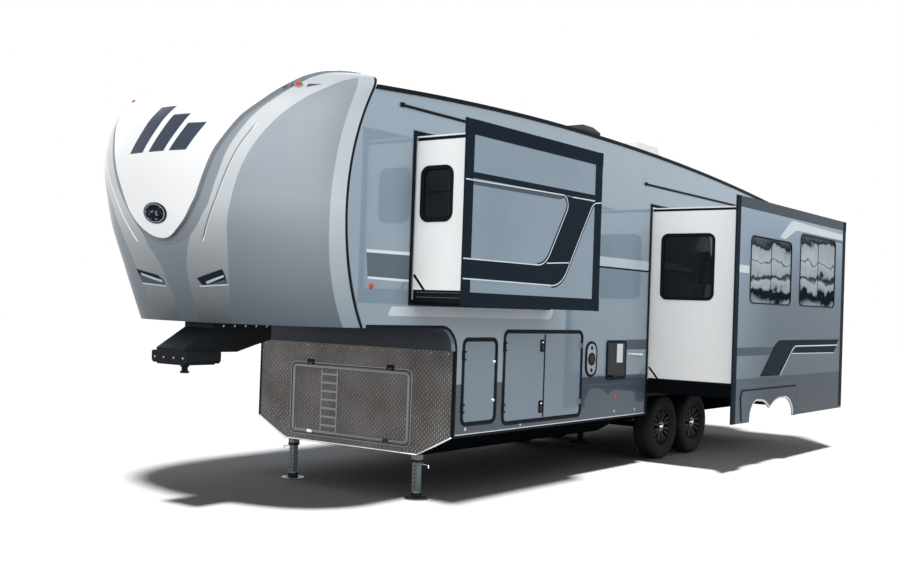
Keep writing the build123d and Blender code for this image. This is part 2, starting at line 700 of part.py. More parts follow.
MAIN_WINDOWS = [((-865, 415), (1915, 2670)), ((-2510, -1180), (1920, 2800))]
face = block(*MAIN_FACE_X, main_y[1], MAIN_FACE_Y, *MAIN_FACE_Z)
face += block(*main_room_x, MAIN_FACE_Y - WALL, main_y[1] + 1, *main_room_z)
face += side_prism(FLARE, MAIN_FACE_Y - 1, MAIN_FACE_Y + FLARE_PROUD)
face -= arches(main_y[1] - 50, MAIN_FACE_Y + 50)
for x, z in MAIN_WINDOWS:
    face -= plate_y(x, z, main_y[1] - 50, MAIN_FACE_Y + 50, WINDOW_R)
parts["main_slide_face"] = face

panes = [plate_y(x, z, MAIN_FACE_Y - 8 - GLASS_T, MAIN_FACE_Y - 8, WINDOW_R) for x, z in MAIN_WINDOWS]
panes.append(plate_x(*MAIN_END_WINDOW, MAIN_FRONT_X - 8 - GLASS_T, MAIN_FRONT_X - 8, WINDOW_R))
parts["main_slide_glass"] = group(panes)

ARM_W = 70
ARM_X = (MAIN_FRONT_X - ARM_W, MAIN_REAR_X)
# the arms, with a rack cut along the lower edge
RACK_PITCH = 42
RACK_DEPTH = 9
RACK_TEETH = int((MAIN_FACE_Y - SIDE - 60) / RACK_PITCH)
arm_start = SLIDE_INNER_Y - 60
tooth_step = RACK_PITCH / 4
arm_outline = [(arm_start, MAIN_FLOOR_Z), (arm_start, ARM_Z)]
for index in range(RACK_TEETH):
    root = SIDE + 30 + index * RACK_PITCH
    arm_outline += [
        (root, ARM_Z), (root + tooth_step / 2, ARM_Z + RACK_DEPTH),
        (root + tooth_step * 1.5, ARM_Z + RACK_DEPTH), (root + tooth_step * 2, ARM_Z),
    ]
arm_outline += [(main_y[1], ARM_Z), (main_y[1], MAIN_FLOOR_Z)]
parts["slide_underframe"] = group([cross_prism(arm_outline, x, x + ARM_W) for x in ARM_X])

# bedroom slide-out
bed_y = (SLIDE_INNER_Y, BED_FACE_Y - BED_FACE_T)
bed_box = block(BED_REAR_X, BED_FRONT_X, *bed_y, BED_FLOOR_Z, BED_TOP_Z)
bed_room_x = (BED_REAR_X + WALL, BED_FRONT_X - WALL)
bed_room_z = (BED_FLOOR_Z + SLIDE_FLOOR_T, BED_TOP_Z - WALL)
bed_box -= block(*bed_room_x, bed_y[0] - 10, bed_y[1] + 10, *bed_room_z)
BED_END_WINDOW = ((1285, 1610), (2456, 2910))
bed_box -= plate_x(*BED_END_WINDOW, BED_FRONT_X - 100, BED_FRONT_X + 100, WINDOW_R)
parts["bed_slide_box"] = bed_box
bed_inside = block(*bed_room_x, BED_FACE_Y - WALL, bed_y[1] + 1, *bed_room_z)
parts["bed_slide_face"] = block(*BED_FACE_X, bed_y[1], BED_FACE_Y, *BED_FACE_Z) + bed_inside
parts["bed_slide_glass"] = plate_x(*BED_END_WINDOW, BED_FRONT_X - 8 - GLASS_T, BED_FRONT_X - 8, WINDOW_R)

# hinges: a pin with lugs on the body, a sleeve on the door, drawn with the pin along Z,
# the door on the -X side and the outside at +Y
HINGE_OUT = 10
HINGE_IN = 3
PIN_R = 4
SLEEVE_R = 8
HINGE_HALF = 25
LUG = 18


hinge_fixed = bar_z(0, 0, PIN_R, -HINGE_HALF - LUG, HINGE_HALF + LUG)
for sign in (1, -1):
    ends = sorted((sign * (HINGE_HALF + 1), sign * (HINGE_HALF + LUG)))
    hinge_fixed += bar_z(0, 0, SLEEVE_R, *ends)
    hinge_fixed += block(0, 12, -HINGE_OUT, -HINGE_OUT + 5, *ends)
hinge_fixed += block(11, 42, -HINGE_OUT, -HINGE_OUT + 5, -HINGE_HALF - LUG, HINGE_HALF + LUG)
hinge_moving = block(-42, 0, -HINGE_OUT, -HINGE_OUT + 5, -HINGE_HALF, HINGE_HALF)
hinge_moving += bar_z(0, 0, SLEEVE_R, -HINGE_HALF, HINGE_HALF)
hinge_moving -= bar_z(0, 0, PIN_R + 0.5, -HINGE_HALF - 5, HINGE_HALF + 5, inside=True)
hinges_fixed = []


def hang(door, places):
    """Adds a hinge's sleeve to the door at each place, and its other half to the body."""
    for place in places:
        door += place * hinge_moving
        hinges_fixed.append(place * hinge_fixed)
    return door


def left_hinge(x, z, sign):
    """Sign 1 for a door whose front edge is hinged, -1 for its rear edge."""
    place = Pos(x - sign * HINGE_IN, SIDE + HINGE_OUT, z)
    return place if sign > 0 else place * Rot(0, 180, 0)


def right_hinge(x, z):
    return Pos(x - HINGE_IN, -SIDE - HINGE_OUT, z) * Rot(180, 0, 0)


for name, x, z in LEFT_DOORS:
    hole = DOUBLE_DOOR[0] if name != "baggage_door_narrow" else x
    left = 2 if name == "baggage_door_front" else DOOR_GAP
    right = 2 if name == "baggage_door_rear" else DOOR_GAP
    door = plate_y(shrunk(hole), shrunk(z), INNER, SIDE, DOOR_R - DOOR_GAP)
    door &= block(x[0] + left, x[1] - right, INNER, SIDE, *z)
    sign = -1 if name == "baggage_door_rear" else 1
    edge = x[1] if sign > 0 else x[0]
    parts[name] = hang(door, [left_hinge(edge, height, sign) for height in (z[0] + 130, z[1] - 130)])
x, z = RIGHT_BAGGAGE
door = plate_y(shrunk(x), shrunk(z), -SIDE, -INNER, DOOR_R - DOOR_GAP)
parts["baggage_door_right"] = hang(door, [right_hinge(x[1], height) for height in (z[0] + 130, z[1] - 130)])
x, z = ENTRY
door = plate_y(shrunk(x), shrunk(z), -SIDE, -INNER, DOOR_R - DOOR_GAP)
door -= opening(*ENTRY_WINDOW, -1, WINDOW_R)
parts["entry_door"] = hang(door, [right_hinge(x[1], height) for height in (z[0] + 150, 1850, z[1] - 150)])
parts["entry_glass"] = plate_y(*ENTRY_WINDOW, -SIDE + 8, -SIDE + 8 + GLASS_T, WINDOW_R)
HATCH_PIVOT = Pos(LOWER_FRONT_X + 4 + HINGE_OUT, 0, HATCH_Z[1] - HINGE_IN)
hatch_places = [HATCH_PIVOT * Pos(0, y, 0) * Rot(0, 0, -90) * Rot(0, -90, 0) for y in (-520, 490)]
parts["front_hatch"] = hang(parts["front_hatch"], hatch_places)
parts["door_hinges"] = group(hinges_fixed)

# runners that the slide-outs rest on
RUNNER_GAP = 0.5
runners = []
for x in ARM_X:
    runners.append(block(x, x + ARM_W, INNER - 100, INNER, FLOOR_Z + FLOOR_T, ARM_Z - RUNNER_GAP))
for x in (BED_REAR_X + 400, BED_FRONT_X - 400):
    runners.append(block(x - 60, x + 60, INNER, SIDE, BED_FLOOR_Z - SLIDE_GAP, BED_FLOOR_Z - RUNNER_GAP))
parts["slide_runners"] = group(runners)

# windows
panes = [plate_y(x, z, -SIDE + 8, -SIDE + 8 + GLASS_T, WINDOW_R) for x, z in RIGHT_WINDOWS]
panes.append(plate_x(*REAR_WINDOW, REAR_X + 8, REAR_X + 8 + GLASS_T, WINDOW_R))
parts["windows"] = group(panes)

# roof fittings
AC_X = -750


def crown_top(x, y):
    return roof_edge(x) + CROWN * (1 - (y / SIDE) ** 2)


ac_base = crown_top(AC_X, 0) - 25
ac = block(AC_X - 350, AC_X + 350, -375, 375, ac_base, 3962)
ac = chamfer(ac.edges().filter_by(Axis.Y).sort_by(Axis.Z)[-2:], 90)
parts["air_conditioner"] = ac - below_roof
SKYLIGHT_X = (1640, 1980)
SKYLIGHT_Y = (600, 1000)
SKYLIGHT_TOP_Z = 3785
dome = block(*SKYLIGHT_X, *SKYLIGHT_Y, crown_top(SKYLIGHT_X[0], SKYLIGHT_Y[1]) - 30, SKYLIGHT_TOP_Z)
dome = chamfer(dome.edges().filter_by(Plane.XY).sort_by(Axis.Z)[-4:], 60)
parts["skylight"] = dome - below_roof
vents = []
for x, y in ((-2300, -300), (3600, 0)):
    top = crown_top(x, y)
    vents.append(block(x - 190, x + 190, y - 190, y + 190, top - 30, top + 90) - below_roof)
parts["roof_vents"] = group(vents)

# awning on the kerb side
AWNING_X = (-2700, 2900)
AWNING_Z = 3260
AWNING_R = 55
roll = Pos(sum(AWNING_X) / 2, -SIDE - AWNING_R, AWNING_Z) * Rot(0, 90, 0)
roll_half = (AWNING_X[1] - AWNING_X[0]) / 2
awning_parts = [roll * extrude(RegularPolygon(AWNING_R, 16), amount=roll_half, both=True)]
for x in (AWNING_X[0] + 15, AWNING_X[1] - 15):
    arm = block(x - 18, x + 18, -SIDE - 45, -SIDE, 1150, AWNING_Z - AWNING_R - 5)
    awning_parts.append(arm)
parts["awning"] = group(awning_parts)

# bumper, ladder and tail lights
BUMPER_X = REAR_X - 150
bumper = block(BUMPER_X, BUMPER_X + 100, 70 - SIDE, SIDE - 70, RAIL_Z + 20, RAIL_Z + 120)
for sign in (1, -1):
    y = sign * RAIL_Y
    bumper += block(BUMPER_X + 100, REAR_X + WALL, y - 30, y + 30, RAIL_Z + 30, RAIL_Z + 110)
parts["bumper"] = bumper
LADDER_Y = (-900, -560)
ladder = None
for y in LADDER_Y:
    rail_form = bar_z(REAR_X - 70, y, 14, 1000, 3450)
    for z in (1050, 2200, 3350):
        arm = block(REAR_X - 70, REAR_X, y - 10, y + 10, z - 10, z + 10)
        rail_form += arm
    ladder = rail_form if ladder is None else ladder + rail_form
for step_index in range(8):
    z = 1100 + step_index * 300
    ladder += bar_y(REAR_X - 70, z, 12, LADDER_Y[0], LADDER_Y[1])
parts["ladder"] = ladder
lights = []
for sign in (1, -1):
    y = sign * (SIDE - 140)
    lights.append(block(REAR_X - 25, REAR_X, y - 60, y + 60, 1250, 1650))
parts["tail_lights"] = group(lights)

# entry steps and grab handle
tread_parts = []
for index, z in enumerate((300, 520, 740)):
    out = 160 + 130 * (2 - index)
    tread = block(ENTRY[0][0] + 60, ENTRY[0][1] - 60, -SIDE - out, -SIDE - out + 160, z - 15, z + 15)
    tread_parts.append(tread)
frame_left = None
for x in (ENTRY[0][0] + 50, ENTRY[0][1] - 60):
    side = side_prism([(x, 285), (x + 10, 285), (x + 10, 755), (x, 755)], -SIDE - 420, -SIDE - 20)
    frame_left = side if frame_left is None else frame_left + side
steps = frame_left
for item in tread_parts:
    steps += item
steps += block(ENTRY[0][0] + 50, ENTRY[0][1] - 50, -SIDE - 60, -SIDE, 725, FLOOR_Z)
parts["entry_steps"] = steps
handle = bar_z(ENTRY[0][0] - 90, -SIDE - 70, 14, 1150, 1900)
for z in (1165, 1885):
    handle += bar_y(ENTRY[0][0] - 90, z, 12, -SIDE - 70, -SIDE)
parts["grab_handle"] = handle

# small outside fittings that stand on the left wall
fittings = [
    plate_y((1310, 1750), (1022, 1450), SIDE, SIDE + 12, 40),
    plate_y((1965, 2200), (1065, 1440), SIDE, SIDE + 10, 110),
]
parts["utility_hatches"] = group(fittings)
# lights on the cap and the walls
marker_parts = [block(5640, 5680, SIDE, SIDE + 12, 1882, 1910)]
marker_parts.append(mirrored(marker_parts[0]))
parts["marker_lights"] = group(marker_parts)

# the origin moves under the middle of the whole trailer
boxes = [shape.bounding_box() for shape in parts.values()]
LOW = [min(getattr(box.min, key) for box in boxes) for key in "XYZ"]
HIGH = [max(getattr(box.max, key) for box in boxes) for key in "XYZ"]
SHIFT = (-(LOW[0] + HIGH[0]) / 2, -(LOW[1] + HIGH[1]) / 2, -LOW[2])
for name, shape in parts.items():
    print(name, len(shape.solids()), round(shape.volume / 1e6, 1))
    export_step(Pos(*SHIFT) * group([shape]), f"parts/{name}.step")
print("shift", SHIFT, "low", LOW, "high", HIGH)
print(len(parts), "parts")
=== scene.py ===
from math import atan2, ceil, cos, hypot, pi, radians, sin, sqrt, tan

import bmesh
import bpy
import numpy as np
from mathutils import Matrix, Vector


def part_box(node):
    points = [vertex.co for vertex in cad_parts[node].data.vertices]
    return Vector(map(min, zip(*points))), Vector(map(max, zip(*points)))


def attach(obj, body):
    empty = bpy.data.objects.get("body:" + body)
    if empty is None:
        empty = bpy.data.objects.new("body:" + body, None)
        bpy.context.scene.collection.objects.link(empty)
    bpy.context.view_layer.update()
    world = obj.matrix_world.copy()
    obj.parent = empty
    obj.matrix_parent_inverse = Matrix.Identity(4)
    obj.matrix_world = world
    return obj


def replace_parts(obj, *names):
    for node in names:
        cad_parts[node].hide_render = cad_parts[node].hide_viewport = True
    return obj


# Fifth wheel trailer.  Metres.  Sizes are written in the design frame: X = 0 at the front axle,
# Y = 0 on the centre line and Z = 0 on the ground.  SHIFT turns that into the frame of the solids.
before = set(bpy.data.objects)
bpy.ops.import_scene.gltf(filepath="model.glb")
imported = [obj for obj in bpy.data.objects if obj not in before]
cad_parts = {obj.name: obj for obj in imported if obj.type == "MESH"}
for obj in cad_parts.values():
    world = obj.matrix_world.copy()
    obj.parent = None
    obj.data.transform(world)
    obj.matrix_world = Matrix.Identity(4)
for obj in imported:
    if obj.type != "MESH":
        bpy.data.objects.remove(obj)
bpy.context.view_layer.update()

SIDE = 1.22
wheel_low, wheel_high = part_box("tyre_front_left")
SHIFT = Vector(((wheel_low.x + wheel_high.x) / 2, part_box("wall_left")[1].y - SIDE, 0))
BODY = "body"
MAIN = "main_slide"
BED = "bed_slide"

# driving sizes, as in the solids
REAR_X = -3.15
LOWER_FRONT_X = 4.498
PLATE_X = LOWER_FRONT_X + 0.004
SKIRT_Z = 0.60
BELT_Z = 1.065
PAN_Z = 0.40
PAN_FLAT = 0.83
DECK_Z = 1.56
COVE_R = 0.2
COVE_Z = DECK_Z - COVE_R
COVE_X = LOWER_FRONT_X + COVE_R
SEAM_R = 1.95
SEAM_X = 5.966
SEAM_Z = 2.48
CREST_X = 2.6
CREST_Z = 3.628
ROOF_R_REAR = 62.0
REAR_ROOF_Z = CREST_Z - ROOF_R_REAR + sqrt(ROOF_R_REAR**2 - (REAR_X - CREST_X) ** 2)
MAIN_FACE_Y = 2.282
MAIN_FACE_T = 0.016
MAIN_FACE_X = (-2.93, 0.837)
MAIN_FACE_Z = (0.572, 3.087)
MAIN_X = (-2.9, 0.756)
MAIN_FLOOR_Z = 1.0
MAIN_TOP_Z = 2.971
CABIN_FLOOR_Z = 0.838
BED_FACE_Y = 1.774
BED_FACE_T = 0.014
BED_FACE_X = (2.95, 5.187)
BED_FACE_Z = (1.761, 3.283)
BED_X = (2.99, 5.137)
BED_FLOOR_Z = 1.8
BED_TOP_Z = 3.17
SLIDE_GAP = 0.02
HUB_Z = 0.392
TYRE_Y = 0.9655
TYRE_W = 0.235
RIM_R = 0.203
AXLE_X = (0.0, -0.87)
LEG_X = 4.431
LEG_Y = 0.782
TO_LEFT = (0, 1, 0)
TO_RIGHT = (0, -1, 0)
UP = (0, 0, 1)


class Signal:
    """A number inside a material.  Arithmetic on it makes math nodes."""

    def __init__(self, shader, output):
        self.shader = shader
        self.output = output

    def math(self, operation, other=0.0, flip=False, clamp=False):
        """This number and another one, the other way round when flip is set."""
        node = self.shader.node("Math", operation=operation, use_clamp=clamp)
        self.shader.link(self, node.inputs[int(flip)])
        if isinstance(other, Signal):
            self.shader.link(other, node.inputs[1 - int(flip)])
        else:
            node.inputs[1 - int(flip)].default_value = other
        return Signal(self.shader, node.outputs[0])

    def __add__(self, other):
        return self.math("ADD", other)

    def __sub__(self, other):
        return self.math("SUBTRACT", other)

    def __rsub__(self, other):
        return self.math("SUBTRACT", other, flip=True)

    def __mul__(self, other):
        return self.math("MULTIPLY", other)

    def __truediv__(self, other):
        return self.math("DIVIDE", other)


class Shader:
    """A new material with its main shader and a few ways to add to it."""

    def __init__(self, name, color, rough, metal=0.0, coat=0.0, spec=0.35):
        self.material = bpy.data.materials.new(name)
        self.material.use_nodes = True
        self.tree = self.material.node_tree
        self.main = self.tree.nodes["Principled BSDF"]
        values = {
            "Base Color": (*color, 1), "Roughness": rough, "Metallic": metal, "Coat Weight": coat,
            "Coat Roughness": 0.04, "Specular IOR Level": spec,
        }
        for socket, value in values.items():
            self.main.inputs[socket].default_value = value

    def node(self, kind, **settings):
        made = self.tree.nodes.new("ShaderNode" + kind)
        for key, value in settings.items():
            setattr(made, key, value)
        return made

    def link(self, source, socket):
        self.tree.links.new(source.output if isinstance(source, Signal) else source, socket)

    def color(self, source):
        self.link(source, self.main.inputs["Base Color"])

    def place(self, scale=(1, 1, 1)):
        mapping = self.node("Mapping")
        mapping.inputs["Scale"].default_value = scale
        self.link(self.node("TexCoord").outputs["Object"], mapping.inputs["Vector"])
        return mapping.outputs["Vector"]

    def axes(self):
        """The X, Y and Z of each point."""
        split = self.node("SeparateXYZ")
        self.link(self.place(), split.inputs["Vector"])
        return [Signal(self, output) for output in split.outputs]

    def noise(self, scale, detail=2, stretch=(1, 1, 1)):
        made = self.node("TexNoise")
        made.inputs["Scale"].default_value = scale
        made.inputs["Detail"].default_value = detail
        self.link(self.place(stretch), made.inputs["Vector"])
        return Signal(self, made.outputs["Fac"])

    def map_range(self, value, start, end, low=0.0, high=1.0, kind="LINEAR"):
        """The value turned from start..end into low..high, and held there beyond them."""
        made = self.node("MapRange", interpolation_type=kind)
        numbers = {"From Min": start, "From Max": end, "To Min": low, "To Max": high}
        for socket, number in numbers.items():
            made.inputs[socket].default_value = number
        self.link(value, made.inputs["Value"])
        return Signal(self, made.outputs["Result"])

    def ramp(self, value, stops):
        made = self.node("ValToRGB")
        elements = made.color_ramp.elements
        while len(elements) < len(stops):
            elements.new(0.5)
        for element, (position, color) in zip(elements, stops):
            element.position = position
            element.color = (*color, 1)
        self.link(value, made.inputs["Fac"])
        return made.outputs["Color"]

    def patches(self, color, amount, scale, detail=3, stretch=(1, 1, 1)):
        """Soft patches a little darker and lighter than the colour."""
        low = [value * (1 - amount) for value in color]
        high = [min(1, value * (1 + amount)) for value in color]
        self.color(self.ramp(self.noise(scale, detail, stretch), [(0.3, low), (0.7, high)]))

    def bump(self, height, strength, distance):
        made = self.node("Bump")
        made.inputs["Strength"].default_value = strength
        made.inputs["Distance"].default_value = distance
        self.link(height, made.inputs["Height"])
        self.link(made.outputs["Normal"], self.main.inputs["Normal"])


def paint(name, color, rough=0.35, coat=0.4, vary=0.03, spec=0.2):
    shader = Shader(name, color, rough, 0.0, coat, spec)
    shader.patches(color, vary, 1.5)
    shader.bump(shader.noise(5), 0.02, 0.002)
    return shader.material


def plastic(name, color, rough=0.5, vary=0.08, grain=400, bump=0.15, spec=0.15):
    shader = Shader(name, color, rough, spec=spec)
    shader.patches(color, vary, 8)
    shader.bump(shader.noise(grain), bump, 0.0003)
    return shader.material


def brushed(name, color, rough=0.35, stretch=(1, 1, 30)):
    shader = Shader(name, color, rough, 1.0)
    shader.patches(color, 0.1, 12, 4, stretch)
    shader.bump(shader.noise(60, 2, stretch), 0.1, 0.0003)
    return shader.material


# raised lines along the lower wall: height, half height
RIB_LINES = [(0.975, 0.006), (0.80, 0.005), (0.70, 0.005), (0.632, 0.006)]
WALL_TOP_Z = 3.4
FADE_X = (-0.6, -2.3)
FADE_Z = (3.0, 2.0)


def side_material(name, upper, lower, coat, lift, fade=0.0):
    """Glossy side paint that changes at the belt, with raised lines below it that are painted paler as a
    highlight.

    Lift is how much paler the paint is under the roof than at the belt, a painted reflection of the sky, and
    fade how much darker it gets toward the rear of the main slide."""
    shader = Shader(name, upper, 0.3, 0.0, coat, 0.05)
    shader.main.inputs["Coat IOR"].default_value = 1.75
    along, _, height = shader.axes()
    lines = 0
    for z, half in RIB_LINES:
        away = (height - z).math("ABSOLUTE")
        lines = (away / half).math("SUBTRACT", 1, flip=True, clamp=True).math("MAXIMUM", lines)
    below = height.math("GREATER_THAN", BELT_Z, flip=True)
    on_slate = lines * below
    # painted highlight: the raised lines below the belt are painted half again as pale as the slate
    rib_painted_highlight = [value * 1.5 for value in lower]
    mixed = shader.ramp(below * 0.5 + on_slate * 0.4, [(0.0, upper), (0.48, lower), (0.9, rib_painted_highlight)])
    # painted reflection of the sky: the paint is made paler from the belt up to the roof
    painted_sky_sheen = shader.map_range(height, BELT_Z, WALL_TOP_Z, 0.9, 0.9 + lift)
    share = painted_sky_sheen + (shader.noise(1.2) - 0.5) * 0.10
    if fade:
        back = shader.map_range(along, *FADE_X, 0.0, fade, "SMOOTHSTEP")
        share = share * (1 - back * shader.map_range(height, *FADE_Z))
    if coat > 0.5:
        shader.link(coat - below * (coat * 0.6), shader.main.inputs["Coat Weight"])
    shade = shader.node("VectorMath", operation="SCALE")
    shader.link(mixed, shade.inputs["Vector"])
    shader.link(share, shade.inputs["Scale"])
    shader.color(shade.outputs["Vector"])
    shader.bump(on_slate, 0.5, 0.004)
    return shader.material


CAP_SHADE_Z = (1.56, 3.6)
# cool tint of the painted shade at the cap's foot
SHADE_TINT = (0.92, 1.02, 1.10)


def cap_material(name, color, low):
    """Moulded skin with painted shade, darker and cooler toward its lower edge, where low is the share of
    colour left.
    """
    shader = Shader(name, color, 0.4, 0.0, 0.05, 0.1)
    painted_shade_cool = [v * low * tint for v, tint in zip(color, SHADE_TINT)]
    level = shader.map_range(shader.axes()[2], *CAP_SHADE_Z) + (shader.noise(1.1) - 0.5) * 0.08
    # painted shade: the colour darkens and cools toward the foot, rises slightly at 0.80 as a painted
    # highlight, and darkens again at the top
    stops = [
        (0.0, painted_shade_cool), (0.26, [(v + w) / 2 for v, w in zip(color, painted_shade_cool)]), (0.48, color), (0.68, color),
        (0.80, [v * 1.02 for v in color]), (0.92, [v * 0.90 for v in color]),
    ]
    shader.color(shader.ramp(level, stops))
    shader.bump(shader.noise(5), 0.02, 0.002)
    return shader.material


TREAD_PITCH = 0.046


def plate_material():
    """Bright tread plate: short raised bars turned one way and the other in a close pattern."""
    shader = Shader("tread_plate", (0.5, 0.5, 0.5), 0.26, 1.0)
    _, y, z = shader.axes()
    across = y / TREAD_PITCH
    up = z / TREAD_PITCH
    bars = []
    for sign, start in ((1, 0.0), (-1, 0.5)):
        waves = []
        for value, sharp, offset in ((up + across * sign, 1.6, start), (up - across * sign, 3.2, 0.25)):
            wave = ((value + offset) * (2 * pi)).math("SINE")
            waves.append((wave - 0.35).math("MULTIPLY", sharp, clamp=True))
        bars.append(waves[0] * waves[1])
    height = bars[0].math("MAXIMUM", bars[1])
    shader.bump(height, 1.0, 0.004)
    # painted highlight: the raised bars are painted paler on their tops, over random darker patches
    colors = [(0.15, (0.070, 0.064, 0.060)), (0.42, (0.125, 0.118, 0.114)), (0.9, (0.36, 0.36, 0.36))]
    shader.color(shader.ramp(height * 0.5 + shader.noise(3.0, 4) * 0.5, colors))
    return shader.material


def badge_material():
    """A dark gloss dome with a few pale shapes painted on as reflections."""
    dark = (0.004, 0.008, 0.014)
    pale = (0.20, 0.24, 0.28)
    shader = Shader("badge_gloss_painted_reflections", dark, 0.3, spec=0.03)
    # painted reflection: pale shapes in the dark colour
    stops = [(0.0, dark), (0.56, dark), (0.63, pale), (1.0, pale)]
    shader.color(shader.ramp(shader.noise(26, 2, (1, 1, 1.6)), stops))
    return shader.material


def glass_material(name, color, sky=0.0, low_z=0.0, high_z=1.0):
    """Dark glass.  Sky is the brightness of a pale sky painted in as a reflection, broken by dark level
    forms.
    """
    shader = Shader(name, color, 0.03, 0.0, 0.0, 0.3 if sky == 0 else 0.0)
    if sky == 0:
        shader.patches(color, 0.3, 2)
        return shader.material
    wide = shader.noise(2.6, 2, (0.8, 1, 2.2)) - 0.5
    small = shader.noise(11, 2, (1, 1, 0.7)) - 0.5
    level = shader.map_range(shader.axes()[2], low_z, high_z) + (wide * 0.36 + small * 0.15)
    # painted reflection: pale, hazy and grey bands of a mirrored sky, with the glass colour between them
    pale = [sky * 0.86, sky * 0.95, sky]
    reflected_haze = [sky * 0.62, sky * 0.74, sky * 0.82]
    grey = [sky * 0.20, sky * 0.25, sky * 0.30]
    stops = [
        (0.0, reflected_haze), (0.06, grey), (0.09, color), (0.19, color), (0.23, reflected_haze), (0.33, pale), (0.36, grey),
        (0.41, color), (0.44, reflected_haze), (0.60, pale), (0.63, grey), (0.66, pale), (0.86, reflected_haze), (0.90, color),
        (1.0, grey),
    ]
    shader.color(shader.ramp(level, stops))
    return shader.material


# dark glass under the painted reflections on the main slide's windows
PAINTED_MIRROR_GLASS_DARK = (0.010, 0.014, 0.018)
# both side paints carry a painted sky reflection toward the roof and painted highlights on the raised lines
m_side = side_material("side_paint", (0.198, 0.260, 0.318), (0.055, 0.074, 0.098), 0.9, 0.42)
m_outer = side_material("outer_paint", (0.195, 0.252, 0.312), (0.095, 0.122, 0.158), 0.03, 0.65, 0.47)
m_bed_outer = paint("bed_panel_paint", (0.200, 0.262, 0.325), 0.3, 0.3, 0.06)
# painted shade: the doors carry the wall's blue, made darker for the shade under the bed slide
m_door_shaded = paint("door_paint_shaded", (0.150, 0.198, 0.245), 0.3, 0.45, 0.05)
m_plate = plate_material()
m_stripe_dark = paint("stripe_navy", (0.012, 0.019, 0.028), 0.45, 0.0, spec=0.01)
m_stripe_grey = paint("stripe_grey", (0.105, 0.135, 0.165), 0.4, 0.0, spec=0.03)
m_stripe_mid = paint("stripe_mid", (0.080, 0.100, 0.125), 0.4, 0.0, spec=0.02)
m_stripe_pale = paint("stripe_pale", (0.50, 0.56, 0.61), 0.3, 0.6)
m_pin_stripe = paint("pin_stripe", (0.62, 0.68, 0.73), 0.3)
m_border = paint("border_black", (0.011, 0.018, 0.027), 0.45, 0.0, spec=0.01)
m_top_band = paint("band_slate", (0.052, 0.068, 0.086), 0.4, 0.0, spec=0.05)
m_cap_white = paint("cap_white", (0.90, 0.905, 0.91), 0.25, 0.2, 0.01)
# the cap paints: each carries painted shade toward the cap's foot
m_cap_shadow = cap_material("cap_mid_grey", (0.290, 0.322, 0.354), 0.08)
m_cap_silver = cap_material("cap_silver", (0.565, 0.595, 0.62), 0.14)
m_cap_grey = cap_material("cap_grey", (0.325, 0.365, 0.402), 0.28)
m_cap_strip = cap_material("cap_blue_grey", (0.52, 0.57, 0.61), 0.42)
m_emblem = paint("emblem_navy", (0.026, 0.040, 0.070), 0.35, 0.2)
m_badge = badge_material()
m_black = plastic("black_trim", (0.006, 0.008, 0.010), spec=0.05)
m_black_paint = paint("black_frame_paint", (0.006, 0.008, 0.010), 0.45, 0.0, 0.2, 0.08)
m_dark = plastic("dark_plastic", (0.022, 0.026, 0.031), 0.6)
m_under = plastic("underbody_black", (0.004, 0.005, 0.006), 0.85, spec=0.0)
m_cove = plastic("cove_grey", (0.048, 0.056, 0.066))
m_white_wall = paint("slide_white", (0.87, 0.87, 0.86), 0.35, 0.3, 0.015)
m_roof = plastic("roof_skin", (0.68, 0.69, 0.69), 0.55, 0.05, 60, 0.1)
m_floor = plastic("floor_board", (0.020, 0.018, 0.016), 0.8)
m_steel = brushed("galvanised_steel", (0.42, 0.44, 0.46), 0.38)
m_chrome = brushed("bright_metal", (0.80, 0.81, 0.82), 0.14)
m_plate_trim = brushed("plate_trim", (0.20, 0.205, 0.21), 0.3, (1, 12, 1))
m_leg = brushed("zinc_steel", (0.13, 0.155, 0.165), 0.42)
m_spring = brushed("spring_steel", (0.05, 0.05, 0.055), 0.5)
m_white_plastic = plastic("white_plastic", (0.74, 0.74, 0.73), 0.45, 0.03)
m_tyre = plastic("tyre_rubber", (0.010, 0.010, 0.011), 0.72, 0.2, 160, 0.3)
m_amber = plastic("amber_lens", (0.50, 0.075, 0.015), 0.2, 0.1, 200, 0.05)
m_red = plastic("red_lens", (0.45, 0.01, 0.01), 0.2, 0.1, 200, 0.05)
m_lens = plastic("clear_lens", (0.45, 0.48, 0.51), 0.12, 0.2, 200, 0.05)
m_spoke = brushed("spoke_metal", (0.085, 0.09, 0.10), 0.25, (12, 1, 12))
m_glass = glass_material("tinted_glass", (0.004, 0.007, 0.009))
m_painted_reflection_front = glass_material("glass_painted_reflection_front", PAINTED_MIRROR_GLASS_DARK, 0.46, 1.92, 2.67)
m_painted_reflection_rear = glass_material("glass_painted_reflection_rear", PAINTED_MIRROR_GLASS_DARK, 0.46, 1.92, 2.80)
TRIM = (m_black, "black_plastic")
ALLOY = (m_black_paint, "wheel_alloy")


def make_object(name, points, faces, look, body, picks=None, sharp=35):
    """A piece on a body, from points in the design frame.

    Look is a material, or materials and a slot, which is not used.  Picks gives each face its material, and
    sharp is the angle above which edges stay crisp."""
    materials, slot = look if isinstance(look, tuple) else (look, None)
    mesh = bpy.data.meshes.new(name)
    mesh.from_pydata([tuple(Vector(p) + SHIFT) for p in points], [], faces)
    for material in materials if isinstance(materials, list) else [materials]:
        mesh.materials.append(material)
    if picks is not None:
        mesh.polygons.foreach_set("material_index", picks)
    work = bmesh.new()
    work.from_mesh(mesh)
    bmesh.ops.remove_doubles(work, verts=work.verts, dist=0.00003)
    bmesh.ops.recalc_face_normals(work, faces=work.faces)
    work.to_mesh(mesh)
    work.free()
    mesh.polygons.foreach_set("use_smooth", [True] * len(mesh.polygons))
    mesh.set_sharp_from_angle(angle=radians(sharp))
    mesh.update()
    piece = bpy.data.objects.new(name, mesh)
    bpy.context.scene.collection.objects.link(piece)
    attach(piece, body)
    return piece


# each of these turns two places on a wall and a height above it into a point
def on_left(y=SIDE):
    return lambda a, b, h: (a, y + h, b)


